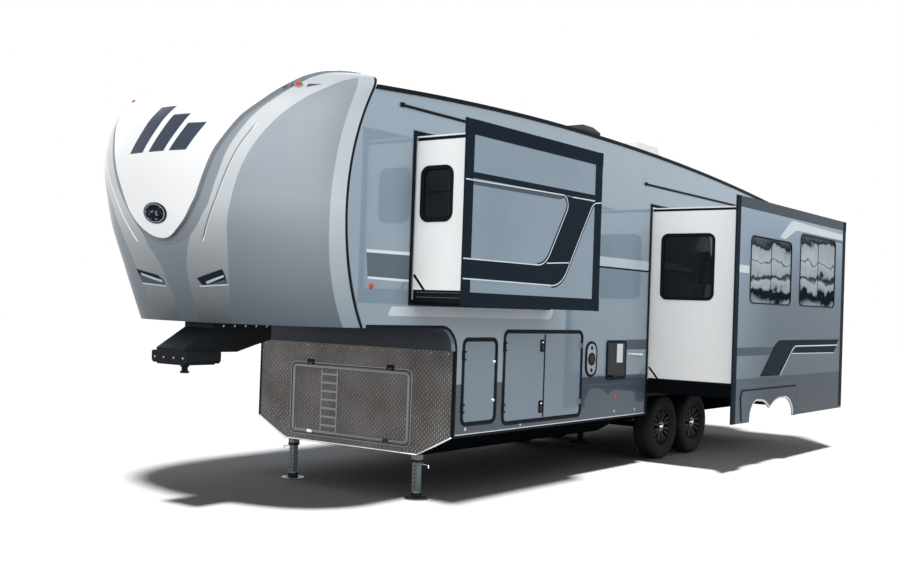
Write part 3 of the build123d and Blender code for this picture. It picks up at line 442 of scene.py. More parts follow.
def on_right(y=SIDE):
    return lambda a, b, h: (a, -y - h, b)


def on_front(x):
    return lambda a, b, h: (x + h, a, b)


def on_rear(x):
    return lambda a, b, h: (x - h, a, b)


def on_wall(spots, y=SIDE):
    return [(x, y, z) for x, z in spots]


def ordered(*values):
    return tuple(sorted(values))


def rounded(a, b, radius, steps=6):
    """Rounded rectangle from (low, high) in two directions, anticlockwise."""
    radius = min(radius, (a[1] - a[0]) / 2 - 1e-5, (b[1] - b[0]) / 2 - 1e-5)
    points = []
    for right, top, start in ((1, 1, 0), (0, 1, 90), (0, 0, 180), (1, 0, 270)):
        centre = (a[right] + radius * (-1 if right else 1), b[top] + radius * (-1 if top else 1))
        for step in range(steps + 1):
            angle = radians(start + 90 * step / steps)
            points.append((centre[0] + radius * cos(angle), centre[1] + radius * sin(angle)))
    return points


def grown(a, b, grow, radius, steps=8):
    """Rounded rectangle that stands out from (low, high) by grow on every side."""
    return rounded((a[0] - grow, a[1] + grow), (b[0] - grow, b[1] + grow), radius, steps)


def circle(centre, radius, steps=24):
    turns = [2 * pi * step / steps for step in range(steps)]
    return [(centre[0] + radius * cos(turn), centre[1] + radius * sin(turn)) for turn in turns]


def eased(points, closed=True, steps=6):
    """An outline or path whose corners (a, b, radius) are rounded."""
    count = len(points)
    made = []
    for index, (a, b, *radius) in enumerate(points):
        here = Vector((a, b))
        if not radius or (not closed and index in (0, count - 1)):
            made.append((a, b))
            continue
        before = Vector(points[index - 1][:2]) - here
        after = Vector(points[(index + 1) % count][:2]) - here
        half = before.angle(after) / 2
        reach = min(radius[0] / tan(half), before.length * 0.49, after.length * 0.49)
        start = here + before.normalized() * reach
        end = here + after.normalized() * reach
        middle = (start + end) / 2
        centre = here + (middle - here) * (reach / cos(half)) / ((middle - here).length + 1e-9)
        arm = start - centre
        turn = arm.angle_signed(end - centre)
        for step in range(steps + 1):
            angle = -turn * step / steps
            x = arm.x * cos(angle) - arm.y * sin(angle)
            y = arm.x * sin(angle) + arm.y * cos(angle)
            made.append(tuple(centre + Vector((x, y)).normalized() * arm.length))
    return made


def band(path, width):
    """The outline of a band of even width along an open path."""
    left = []
    right = []
    for index, point in enumerate(path):
        here = Vector(point)
        ahead = Vector(path[min(index + 1, len(path) - 1)]) - Vector(path[max(index - 1, 0)])
        side = Vector((-ahead.y, ahead.x)).normalized() * (width / 2)
        left.append(tuple(here + side))
        right.append(tuple(here - side))
    return left + right[::-1]


def inset(outline, distance):
    """The outline, anticlockwise, moved inward by distance."""
    if distance == 0:
        return outline
    moved = []
    for index, point in enumerate(outline):
        here = Vector(point)
        first = (here - Vector(outline[index - 1])).normalized()
        second = (Vector(outline[(index + 1) % len(outline)]) - here).normalized()
        normal = Vector((-first.y - second.y, first.x + second.x)).normalized()
        stretch = max(0.35, normal.dot(Vector((-first.y, first.x))))
        moved.append(tuple(here + normal * (distance / stretch)))
    return moved


def anticlockwise(outline):
    area = sum(a[0] * b[1] - b[0] * a[1] for a, b in zip(outline, outline[1:] + outline[:1]))
    return outline if area > 0 else outline[::-1]


def ring_faces(start, rings, count, closed=False):
    """Faces between rings of count points each.  Closed joins the last ring to the first."""
    faces = []
    for ring in range(rings if closed else rings - 1):
        low = start + ring * count
        high = start + (ring + 1) % rings * count
        for index in range(count):
            after = (index + 1) % count
            faces.append((low + index, low + after, high + after, high + index))
    return faces


def ring_end(start, ring, count):
    return tuple(range(start + ring * count, start + (ring + 1) * count))


def reliefs(name, outlines, profile, place, look, body=BODY, front=True, back=False):
    """Raised forms on a wall: each outline at every (inset, height) of the profile.

    Front closes the last ring, and back the first one."""
    points = []
    faces = []
    for outline in outlines:
        outline = anticlockwise(outline)
        count = len(outline)
        start = len(points)
        for distance, height in profile:
            points.extend(place(a, b, height) for a, b in inset(outline, distance))
        faces += ring_faces(start, len(profile), count)
        if front:
            faces.append(ring_end(start, len(profile) - 1, count))
        if back:
            faces.append(ring_end(start, 0, count))
    return make_object(name, points, faces, look, body)


def stripe(name, outlines, place, look, body=BODY, height=0.0010):
    return reliefs(name, outlines, [(0, 0), (0, height)], place, look, body)


def rim(name, outline, profile, place, body=BODY, look=TRIM):
    """A raised frame along an outline, open in the middle."""
    return reliefs(name, [outline], profile, place, look, body, False)


def slab(a, b):
    """A plain four-cornered outline."""
    return [(a[0], b[0]), (a[1], b[0]), (a[1], b[1]), (a[0], b[1])]


BOX_SIDES = [(0, 1, 3, 2), (4, 6, 7, 5), (0, 4, 5, 1), (2, 3, 7, 6), (0, 2, 6, 4), (1, 5, 7, 3)]


def boxes(name, spans, look, body=BODY, bevel=0.003):
    """Solid bars with softened edges from (x, y, z) spans."""
    points = []
    faces = []
    for span in spans:
        base = len(points)
        points.extend((x, y, z) for x in span[0] for y in span[1] for z in span[2])
        faces.extend(tuple(base + i for i in side) for side in BOX_SIDES)
    modifier = make_object(name, points, faces, look, body).modifiers.new("bevel", "BEVEL")
    modifier.width = bevel
    modifier.segments = 2


def ring_points(middle, ahead, radius, sides):
    """Points round a middle, in the plane square to a direction."""
    up = Vector((0, 0, 1)) if abs(ahead.z) < 0.9 else Vector((1, 0, 0))
    side = ahead.cross(up).normalized()
    top = side.cross(ahead).normalized()
    turns = [2 * pi * step / sides for step in range(sides)]
    return [middle + (side * cos(turn) + top * sin(turn)) * radius for turn in turns]


def tube(name, path, radius, look, body=BODY, sides=12):
    """A round bar along a path of points."""
    path = [Vector(p) for p in path]
    points = []
    for index, here in enumerate(path):
        ahead = (path[min(index + 1, len(path) - 1)] - path[max(index - 1, 0)]).normalized()
        points += ring_points(here, ahead, radius, sides)
    ends = [ring_end(0, ring, sides) for ring in (0, len(path) - 1)]
    return make_object(name, points, ring_faces(0, len(path), sides) + ends, look, body)


def lathes(name, profile, places, axis, look, body=BODY, sides=32, closed=False):
    """Turned forms: (distance along the axis, radius) points round an axis through each place."""
    axis = Vector(axis).normalized()
    points = []
    faces = []
    for place in places:
        base = len(points)
        for along, radius in profile:
            points += ring_points(Vector(place) + axis * along, axis, radius, sides)
        faces += ring_faces(base, len(profile), sides, closed)
        if not closed:
            faces += [ring_end(base, ring, sides) for ring in (0, len(profile) - 1)]
    return make_object(name, points, faces, look, body)


# nose cap: height, front at the centre line, how much narrower each half is
CAP_LEVELS = [
    (1.560, 6.460, 0), (2.000, 6.650, 0), (2.450, 6.828, 0), (2.850, 6.893, 0), (3.100, 6.858, 0),
    (3.300, 6.747, 0), (3.450, 6.580, 0.001), (3.555, 6.350, 0.018), (3.610, 6.120, 0.070),
    (3.635, 5.930, 0.140),
]
CAP_FRONT_R = 2.2
CAP_CORNER_R = 0.75
CAP_TOP_Z = CAP_LEVELS[-1][0]
# heights between which the skin's levels stand evenly, and how many
LEVEL_STOPS = [(1.56, 2.14, 22), (2.14, 2.34, 44), (2.34, 3.30, 64), (3.30, 3.60, 36), (3.60, CAP_TOP_Z, 8)]
PANEL_PROUD = 0.011
SHADOW_DEEP = 0.022
SHADOW_FULL = 0.05
SHADOW_RISE = 0.03
STEP_WIDE = 0.010
GROOVE_DEEP = 0.010
GROOVE_HALF = 0.011
GROOVE_SHARP = 0.003
GROOVE_Z = (2.19, 3.07)
GROOVE_FADE = 0.04
GROOVE_CLEAR = 0.02
STRIP_WIDE = 0.16
SEAM_LINE = 0.028
LEAST = 0.001
REACH = 0.01
# edges of the colours on the cap: height, distance from the centre line on the left, then on the right
PANEL_EDGE = [
    (2.218, 0, 0), (2.228, 0.060, 0.080), (2.250, 0.115, 0.150), (2.291, 0.180, 0.225),
    (2.350, 0.262, 0.300), (2.400, 0.315, 0.345), (2.454, 0.360, 0.385), (2.536, 0.425, 0.422),
    (2.610, 0.468, 0.450), (2.742, 0.540, 0.505), (2.868, 0.606, 0.550), (2.974, 0.676, 0.590),
    (3.113, 0.768, 0.640), (3.244, 0.862, 0.690), (3.39, 0.940, 0.745), (3.467, 0.966, 0.770),
    (3.551, 0.975, 0.785), (3.70, 0.98, 0.80),
]
SHADOW_EDGE = [
    (2.158, 0, 0), (2.166, 0.10, 0.075), (2.190, 0.190, 0.145), (2.212, 0.244, 0.185),
    (2.257, 0.315, 0.271), (2.325, 0.395, 0.330), (2.400, 0.460, 0.385), (2.472, 0.519, 0.440),
    (2.548, 0.562, 0.492), (2.620, 0.598, 0.530), (2.700, 0.640, 0.560), (2.867, 0.715, 0.620),
    (3.034, 0.803, 0.680), (3.196, 0.893, 0.735), (3.39, 0.988, 0.800), (3.467, 1.005, 0.825),
    (3.70, 1.01, 0.85),
]
CENTRE_EDGE = [
    (1.56, 0.11, 0.11), (1.85, 0.125, 0.125), (2.009, 0.155, 0.16), (2.10, 0.20, 0.21),
    (2.162, 0.238, 0.25), (2.30, 0.330, 0.29), (2.50, 0.40, 0.40), (3.70, 0.60, 0.60),
]
GROOVE_LINE = [
    (2.177, 0.384), (2.312, 0.472), (2.46, 0.565), (2.607, 0.650), (2.776, 0.742), (2.92, 0.815),
    (3.05, 0.885), (3.30, 1.00),
]
SILVER_EDGE = [
    (1.56, 0.44), (1.823, 0.515), (2.052, 0.575), (2.201, 0.617), (2.335, 0.655), (2.496, 0.715),
    (2.681, 0.792), (2.868, 0.876), (3.023, 0.952), (3.172, 1.027), (3.311, 1.090), (3.388, 1.125),
    (3.5, 1.15), (3.70, 1.16),
]


def seam_x(z):
    return SEAM_X - SEAM_R + sqrt(SEAM_R**2 - (z - SEAM_Z) ** 2)


def smooth_table(rows, column):
    """A smooth curve through a table's rows, with no overshoot between them."""
    zs = [row[0] for row in rows]
    values = [row[column] for row in rows]
    steps = [(values[i + 1] - values[i]) / (zs[i + 1] - zs[i]) for i in range(len(zs) - 1)]
    slopes = [steps[0]]
    for before, after in zip(steps, steps[1:]):
        slopes.append(2 * before * after / (before + after) if before * after > 0 else 0.0)
    slopes.append(steps[-1])

    def value(z):
        z = min(max(z, zs[0]), zs[-1])
        index = min(sum(1 for low in zs if low <= z) - 1, len(zs) - 2)
        gap = zs[index + 1] - zs[index]
        t = (z - zs[index]) / gap
        start = (2 * t**3 - 3 * t**2 + 1) * values[index] + (t**3 - 2 * t**2 + t) * gap * slopes[index]
        end = (3 * t**2 - 2 * t**3) * values[index + 1] + (t**3 - t**2) * gap * slopes[index + 1]
        return start + end

    return value


def both_sides(rows):
    return {1: smooth_table(rows, 1), -1: smooth_table(rows, 2)}


cap_front = smooth_table(CAP_LEVELS, 1)
cap_narrow = smooth_table(CAP_LEVELS, 2)
panel_at = both_sides(PANEL_EDGE)
shadow_at = both_sides(SHADOW_EDGE)
centre_at = both_sides(CENTRE_EDGE)
groove_at = smooth_table(GROOVE_LINE, 1)
silver_at = smooth_table(SILVER_EDGE, 1)


def cap_plan(z):
    """Half of the cap's outline at a height, from the centre line back to the seam: points and lengths."""
    half = SIDE - cap_narrow(z)
    centre = cap_front(z) - CAP_FRONT_R
    corner_y = half - CAP_CORNER_R
    corner_x = centre + sqrt((CAP_FRONT_R - CAP_CORNER_R) ** 2 - corner_y**2)
    turn = atan2(corner_y, corner_x - centre)
    points = [(centre + CAP_FRONT_R * cos(t), CAP_FRONT_R * sin(t)) for t in np.linspace(0, turn, 60)]
    for t in np.linspace(turn, pi / 2, 60)[1:]:
        points.append((corner_x + CAP_CORNER_R * cos(t), corner_y + CAP_CORNER_R * sin(t)))
    end = seam_x(z)
    points.append((min(end, corner_x - LEAST), half))
    points = np.array(points)
    points = points[points[:, 0] >= end]
    if points[-1, 0] > end + 1e-4:
        points = np.vstack([points, [end, points[-1, 1]]])
    lengths = np.concatenate([[0], np.cumsum(np.hypot(*np.diff(points, axis=0).T))])
    return points, lengths


def cap_spot(y, z, lift=0.0):
    """The point of the cap's surface at (y, z), moved out by lift."""
    def x_at(y_here, z_here):
        points, _ = cap_plan(z_here)
        return float(np.interp(abs(y_here), points[:, 1], points[:, 0]))

    across = (x_at(y + REACH, z) - x_at(y - REACH, z)) / (2 * REACH)
    up = (x_at(y, z + REACH) - x_at(y, z - REACH)) / (2 * REACH)
    return Vector((x_at(y, z), y, z)) + Vector((1, -across, -up)).normalized() * lift


def cap_stretches(z, sign, points, lengths):
    """What follows what along one level: end of the stretch, points in it, lift at its end, material."""
    end = float(lengths[-1])

    def length_at(y):
        return float(np.interp(y, points[:, 1], lengths))

    panel = min(length_at(panel_at[sign](z)), end) if z > PANEL_EDGE[0][0] else 0.0
    shadow = min(length_at(shadow_at[sign](z)), end) if z > SHADOW_EDGE[0][0] else 0.0
    shadow = max(shadow, panel)
    centre = max(length_at(centre_at[sign](z)), shadow + LEAST)
    silver = max(min(length_at(silver_at(z)), end), centre + 2 * LEAST)
    strip = max(end - SEAM_LINE - STRIP_WIDE, silver + 2 * LEAST)
    seam = max(end - SEAM_LINE, strip + 2 * LEAST)
    fade = min(max((z - GROOVE_Z[0]) / GROOVE_FADE, 0), max((GROOVE_Z[1] - z) / GROOVE_FADE, 0), 1)
    groove = (centre + silver) / 2
    # painted light in the groove: the wall toward the centre line takes the shadow-band grey as painted
    # shade, the outer wall white as a painted highlight
    colors = (2, 2)
    if fade > 0:
        groove = min(max(length_at(groove_at(z)), centre + GROOVE_CLEAR), silver - GROOVE_CLEAR)
        colors = (1, 6)
    gap = shadow - panel
    raised = PANEL_PROUD
    dip = -SHADOW_DEEP * min(1.0, gap / SHADOW_FULL)
    if panel == 0:
        raised = dip = -SHADOW_DEEP * min(max((z - SHADOW_EDGE[0][0]) / SHADOW_RISE, 0), 1)
    return raised, [
        (panel, 14, raised, 0), (panel + min(STEP_WIDE, gap * 0.3), 2, dip, 1), (shadow, 7, 0.0, 1),
        (centre, 3, 0.0, 3), (max(groove - GROOVE_HALF, centre), 5, 0.0, 2),
        (groove - GROOVE_SHARP, 2, -GROOVE_DEEP * fade, colors[0]), (groove + GROOVE_HALF, 2, 0.0, colors[1]),
        (silver, 6, 0.0, 2), (strip, 18, 0.0, 3), (seam, 4, 0.0, 4), (end, 2, 0.0, 5),
    ]


def cap_row(z, sign):
    """Points of one level of the cap on one side, with the material of each stretch between them."""
    points, lengths = cap_plan(z)
    raised, stretches = cap_stretches(z, sign, points, lengths)
    row = []
    picks = []
    start = 0.0
    lift_start = raised
    for stop, count, lift_stop, material in stretches:
        for index in range(count):
            t = index / count
            row.append((start + (stop - start) * t, lift_start + (lift_stop - lift_start) * t))
            picks.append(material)
        start = stop
        lift_start = lift_stop
    row.append((start, 0.0))
    slope = (cap_front(z + REACH) - cap_front(z - REACH)) / (2 * REACH)
    near = 0.004

    def spot(length):
        return [float(np.interp(length, lengths, points[:, axis])) for axis in (0, 1)]

    placed = []
    for length, lift in row:
        ahead = spot(min(length + near, start))
        behind = spot(max(length - near, 0))
        dx = ahead[0] - behind[0]
        dy = ahead[1] - behind[1]
        normal = Vector((dy, -dx, -slope * sqrt(dx * dx + dy * dy))).normalized()
        placed.append(Vector((*spot(length), z)) + normal * lift)
    return placed, picks


def build_cap():
    """The moulded cap: a grid of levels whose columns follow the edges of its colours."""
    levels = [float(z) for low, high, count in LEVEL_STOPS for z in np.linspace(low, high, count)[:-1]]
    back = seam_x(CAP_TOP_Z)
    points = []
    faces = []
    chosen = []
    for sign in (1, -1):
        rows, picks = map(list, zip(*[cap_row(z, sign) for z in levels + [CAP_TOP_Z]]))
        edge = rows[-1]
        for t in (0.25, 0.5, 0.75, 1.0):
            rows.append([Vector((p.x + (back - p.x) * t, p.y, p.z)) for p in edge])
            picks.append(picks[-1])
        count = len(edge)
        base = len(points)
        for row in rows:
            points.extend((p.x, p.y * sign, p.z) for p in row)
        for level in range(len(rows) - 1):
            for column in range(count - 1):
                low = base + level * count + column
                faces.append((low, low + 1, low + count + 1, low + count))
                chosen.append(picks[level][column])
    # the last white, index 6, is the painted highlight on the groove's outer wall
    materials = [m_cap_white, m_cap_shadow, m_cap_silver, m_cap_grey, m_cap_strip, m_black, m_cap_white]
    piece = make_object("cap_skin", points, faces, (materials, "cap_shell"), BODY, chosen, 28)
    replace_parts(piece, "nose_cap", "cap_panel")


def dense(outline, longest=0.02):
    """The outline with more points, so that it can follow a curved skin."""
    made = []
    for first, second in zip(outline, outline[1:] + outline[:1]):
        run = (second[0] - first[0], second[1] - first[1])
        count = max(1, ceil(hypot(*run) / longest))
        for step in range(count):
            made.append((first[0] + run[0] * step / count, first[1] + run[1] * step / count))
    return made


def cap_plates(name, outlines, lift, material, edge=0.0):
    """Thin plates that follow the cap: rings that shrink toward the middle of each outline."""
    points = []
    faces = []
    rings = [(1.0, edge)] + [(scale, lift) for scale in (1.0, 0.8, 0.6, 0.4, 0.2, 0.02)]
    for outline in outlines:
        outline = dense(outline)
        count = len(outline)
        middle = (sum(p[0] for p in outline) / count, sum(p[1] for p in outline) / count)
        base = len(points)
        for scale, height in rings:
            for spot in outline:
                y, z = (m + (v - m) * scale for m, v in zip(middle, spot))
                points.append(cap_spot(y, z, height))
        faces += ring_faces(base, len(rings), count)
        faces.append(ring_end(base, len(rings) - 1, count))
    return make_object(name, points, faces, (material, "cap_shell"), BODY)


BADGE = (-0.026, 2.412)
BADGE_HALF = (0.137, 0.080)
MARKER_SPOTS = [("left", 1, 1.0, 3.411), ("right", -1, 0.66, 3.370)]
MARKER_RIM = [(-0.005, 0.036), (0.004, 0.036), (0.008, 0.032), (0.008, 0.026)]
MARKER_LENS = [(0.004, 0.027), (0.014, 0.023), (0.021, 0.013), (0.023, 0.002)]
# the emblem's slanted bars: the start and top of each
BARS = [(-0.27, 3.225), (-0.02, 3.150), (0.21, 3.075)]
BAR_FOOT_Z = 2.885
BAR_WIDE = 0.15
BAR_SLANT = 0.75
BAR_EDGE = 0.009
# docking lights on the cap: outlines in (y, z) of the recess, its dark upper part (painted shade), the pale
# lip (a painted highlight) and the lamp
DOCKING_LIGHTS = {
    "left": [
        [(0.226, 1.910), (0.498, 1.984), (0.510, 1.958), (0.512, 1.868), (0.262, 1.852)],
        [(0.232, 1.908), (0.494, 1.980), (0.506, 1.944), (0.506, 1.905), (0.330, 1.862), (0.268, 1.858)],
        [(0.236, 1.852), (0.520, 1.870), (0.519, 1.860), (0.240, 1.842)],
        [(0.312, 1.884), (0.496, 1.938), (0.499, 1.924), (0.322, 1.866)],
    ],
    "right": [
        [(-0.170, 1.850), (-0.185, 1.893), (-0.245, 1.930), (-0.575, 1.981), (-0.535, 1.866)],
        [(-0.188, 1.893), (-0.246, 1.929), (-0.572, 1.980), (-0.548, 1.940), (-0.200, 1.876)],
        [(-0.165, 1.848), (-0.530, 1.868), (-0.533, 1.858), (-0.167, 1.838)],
        [(-0.195, 1.890), (-0.500, 1.948), (-0.495, 1.930), (-0.200, 1.872)],
    ],
}
# the same four parts: name, lift of the edge and of the face, material
DOCKING_PARTS = [
    ("recess", -0.002, 0.0012, m_stripe_mid), ("shade", 0.0010, 0.0020, m_stripe_dark),
    ("lip", 0.0010, 0.0040, m_stripe_pale), ("lamp", 0.0010, 0.0060, m_lens),
]


def cap_fittings():
    """Docking lights in their dark recesses, marker lights, the oval badge and a plain emblem."""
    for side, outlines in DOCKING_LIGHTS.items():
        for (part, edge, lift, material), outline in zip(DOCKING_PARTS, outlines):
            piece = cap_plates(f"docking_{part}_{side}", [outline], lift, material, edge)
            if part == "lamp" and side == "left":
                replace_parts(piece, "docking_lights")
    for name, sign, y, z in MARKER_SPOTS:
        base = cap_spot(sign * y, z)
        normal = (cap_spot(sign * y, z, REACH) - base).normalized()
        lathes(f"cap_marker_rim_{name}", MARKER_RIM, [base], normal, m_cap_shadow)
        lathes(f"cap_marker_{name}", MARKER_LENS, [base], normal, m_amber)
        wings = []
        for side in (1, -1):
            corners = [(0.045, side * 0.012), (0.100, side * 0.020), (0.052, side * 0.012 - 0.030)]
            wings.append([(sign * (y + side * out), z + up) for out, up in corners])
        cap_plates(f"cap_marker_wings_{name}", wings, 0.002, m_stripe_mid)
    turns = [2 * pi * step / 40 for step in range(40)]
    for name, size, edge, lift, material in (
        ("ring", 1.0, 0.006, 0.008, m_stripe_dark), ("line", 0.88, PANEL_PROUD, 0.010, m_steel),
        ("face", 0.82, PANEL_PROUD, 0.012, m_badge),
    ):
        half = [value * size for value in BADGE_HALF]
        oval = [(BADGE[0] + half[0] * cos(t), BADGE[1] + half[1] * sin(t)) for t in turns]
        cap_plates("cap_badge_" + name, [oval], PANEL_PROUD + lift, material, edge)
    bars = []
    for start, top in BARS:
        lean = (top - BAR_FOOT_Z) * BAR_SLANT
        foot = [(start, BAR_FOOT_Z), (start + BAR_WIDE, BAR_FOOT_Z)]
        bars.append(foot + [(start + BAR_WIDE + lean, top), (start + lean, top)])
    edges = [inset(anticlockwise(bar), -BAR_EDGE) for bar in bars]
    cap_plates("emblem_edge", edges, PANEL_PROUD + 0.0010, m_stripe_mid, PANEL_PROUD - 0.004)
    cap_plates("emblem", bars, PANEL_PROUD + 0.0018, m_emblem, PANEL_PROUD - 0.004)


FRAME_WIDE = 0.034
FRAME_R = 0.083
FRAME_LAP = 0.008
PANE = [(0.010, -0.012), (0.011, -0.005), (0.012, -0.0045)]
RIGHT_WINDOWS = [((-2.5, -1.75), (1.9, 2.65)), ((-1.25, 0.25), (1.85, 2.65)), ((3.3, 4.5), (2.3, 2.85))]


def window(name, a, b, place, body=BODY, glass=m_glass, bar=None, wide=FRAME_WIDE):
    """A rounded frame round an opening, its pane, and a slider's bar: ("a" or "b", where, half width)."""
    outline = grown(a, b, FRAME_LAP, FRAME_R)
    profile = [(0, 0), (0, 0.006), (0.003, 0.009), (wide - 0.004, 0.009), (wide, 0.005)]
    rim(name + "_frame", outline, profile + [(wide + 0.001, -0.006)], place, body)
    pane = reliefs(name + "_pane", [outline], PANE, place, (glass, "tinted_glass"), body, True, True)
    if bar:
        axis, where, half = bar
        room = wide - FRAME_LAP
        spans = [(low + room, high - room) for low, high in (a, b)]
        spans["ab".index(axis)] = (where - half, where + half)
        reliefs(name + "_slider", [slab(*spans)], [(0, -0.006), (0.002, 0.0)], place, TRIM, body)
    return pane


def windows():
    place = on_left(MAIN_FACE_Y)
    pane = window("main_window_front", (-0.865, 0.415), (1.915, 2.67), place, MAIN, m_painted_reflection_front,
                  ("a", -0.22, 0.005), 0.014)
    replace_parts(pane, "main_slide_glass")
    window("main_window_rear", (-2.51, -1.18), (1.92, 2.80), place, MAIN, m_painted_reflection_rear,
           ("a", -1.85, 0.005), 0.014)
    window("main_end_window", (1.355, 1.994), (1.928, 2.668), on_front(MAIN_X[1]), MAIN)
    pane = window("bed_end_window", (1.285, 1.61), (2.456, 2.91), on_front(BED_X[1]), BED, m_glass,
                  ("b", 2.70, 0.010))
    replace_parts(pane, "bed_slide_glass")
    for index, (x, z) in enumerate(RIGHT_WINDOWS):
        pane = window(f"right_window_{index + 1}", x, z, on_right(), BODY, m_glass, ("a", sum(x) / 2, 0.010))
        if index == 0:
            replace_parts(pane, "windows")
    window("rear_window", (-0.7, 0.7), (1.9, 2.65), on_rear(REAR_X))
    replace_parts(window("entry_window", (1.48, 1.92), (1.75, 2.60), on_right(), "entry_door"), "entry_glass")


BED_FIELD_X = (3.080, 5.078)
BED_FIELD_Z = (1.874, 3.160)
WRAP = 0.0015


def bed_face():
    """Borders and graphics of the bedroom slide-out's outer face."""
    place = on_left(BED_FACE_Y)
    low_x, high_x = BED_FACE_X
    low_z, high_z = BED_FACE_Z
    near, far = BED_FIELD_X
    wrap = (BED_FACE_Y - BED_FACE_T - 0.001, BED_FACE_Y + 0.0035)
    boxes("bed_border", [
        ((far, high_x + WRAP), wrap, BED_FACE_Z), ((low_x - WRAP, near), wrap, BED_FACE_Z),
        (BED_FIELD_X, wrap, (BED_FIELD_Z[1], high_z + WRAP)),
        (BED_FIELD_X, wrap, (low_z - WRAP, BED_FIELD_Z[0])),
    ], m_border, BED, 0.0015)
    caps = []
    for x in ((low_x - 0.004, low_x + 0.058), (high_x - 0.004, high_x + 0.004)):
        for z in ((low_z - 0.003, low_z + 0.118), (high_z - 0.125, high_z + 0.003)):
            caps.append((x, (wrap[0] - 0.003, wrap[1] + 0.003), z))
    boxes("bed_border_corners", caps, m_border, BED, 0.002)
    black = [(far, 2.806), (near, 2.815), (near, 2.868), (far, 2.856)]
    grey = [(far, 2.752), (3.72, 2.764), (3.60, 2.80), (far, 2.80)]
    stripe("bed_band_black", [black], place, m_stripe_dark, BED)
    stripe("bed_band_grey", [grey], place, m_stripe_mid, BED)
    outer = eased([(3.06, 2.80), (3.13, 2.765, 0.07), (3.665, 1.982, 0.28), (far, 1.990)], False, 8)
    inner = eased([(far, 2.150), (3.935, 2.158, 0.24), (3.510, 2.805, 0.07), (3.75, 2.806)], False, 8)
    stripe("bed_diagonal", [outer + inner], place, m_stripe_dark, BED)
    outer = eased([(2.955, 2.805), (3.115, 2.785, 0.15), (3.660, 1.975, 0.30), (5.186, 1.983)], False, 10)
    loop = eased([(5.186, 2.787), (3.500, 2.812, 0.09), (3.940, 2.150, 0.24), (5.186, 2.146)], False, 8)
    paths = [outer, loop, [(3.92, 2.172), (3.53, 2.196)], [(3.50, 2.806), (3.085, 2.812)]]
    shadows = [band(outer[1:-1], 0.042), band(loop[1:-1], 0.038)]
    stripe("bed_line_shadows", shadows, place, m_stripe_dark, BED, 0.0020)
    lines = [band(path, 0.010) for path in paths]
    stripe("bed_pinstripes", lines, on_left(BED_FACE_Y + 0.0035), m_pin_stripe, BED, 0.0008)


MAIN_FIELD_X = (-2.815, 0.735)
MAIN_FIELD_TOP = 2.968


def main_face():
    """Borders and graphics of the main slide-out's outer face."""
    place = on_left(MAIN_FACE_Y)
    low_x, high_x = MAIN_FACE_X
    low_z, high_z = MAIN_FACE_Z
    rear, front = MAIN_FIELD_X
    wrap = (MAIN_FACE_Y - MAIN_FACE_T - 0.001, MAIN_FACE_Y + 0.003)
    sides = [((front, high_x + WRAP), wrap, (low_z, high_z)), ((low_x - WRAP, rear), wrap, (SKIRT_Z, high_z))]
    boxes("main_border_sides", sides, m_border, MAIN, 0.0015)
    boxes("main_border_top", [(MAIN_FIELD_X, wrap, (MAIN_FIELD_TOP, high_z + WRAP))], m_top_band, MAIN,
          0.0015)
    corner = ((low_x - 0.004, low_x + 0.060), (wrap[0], wrap[1] + 0.003), (high_z - 0.13, high_z + 0.003))
    boxes("main_border_corner", [corner], m_border, MAIN, 0.002)
    grey = [(front, 1.320), (-0.25, 1.320), (-0.42, 1.412), (front, 1.412)]
    stripe("main_band_grey", [grey], place, m_stripe_mid, MAIN)
    diagonal = eased([
        (0.045, 1.075), (-0.47, 1.492, 0.42), (-2.775, 1.496), (-2.665, 1.430), (-1.045, 1.426, 0.26),
        (-0.600, 1.072),
    ], True, 8)
    lower_bar = [(-1.095, 1.404), (-2.690, 1.408), (-2.560, 1.326), (-1.000, 1.334)]
    stripe("main_diagonal", [diagonal, lower_bar], place, m_stripe_dark, MAIN)
    line = eased([(-0.592, 1.072), (-1.052, 1.417, 0.26), (-2.700, 1.420)], False, 8)
    lines = [band(line, 0.011), band([(-0.990, 1.328), (-2.555, 1.318)], 0.008)]
    stripe("main_pinstripes", lines, on_left(MAIN_FACE_Y + 0.001), m_pin_stripe, MAIN, 0.0007)
    sweep = eased([
        (-0.475, 2.715), (-0.845, 2.945, 0.34), (-2.812, 2.910), (-2.812, 2.832), (-1.020, 2.835, 0.28),
        (-0.640, 2.700),
    ], True, 8)
    stripe("main_sweep", [sweep, slab((0.450, front), (2.243, 2.328))], place, m_stripe_pale, MAIN)
    shadow = [(-1.26, 2.826), (-2.812, 2.822), (-2.812, 2.792), (-1.22, 2.812)]
    stripe("main_shadow_sweep", [shadow], place, m_stripe_grey, MAIN)


PILLAR_X = (0.806, 1.955)


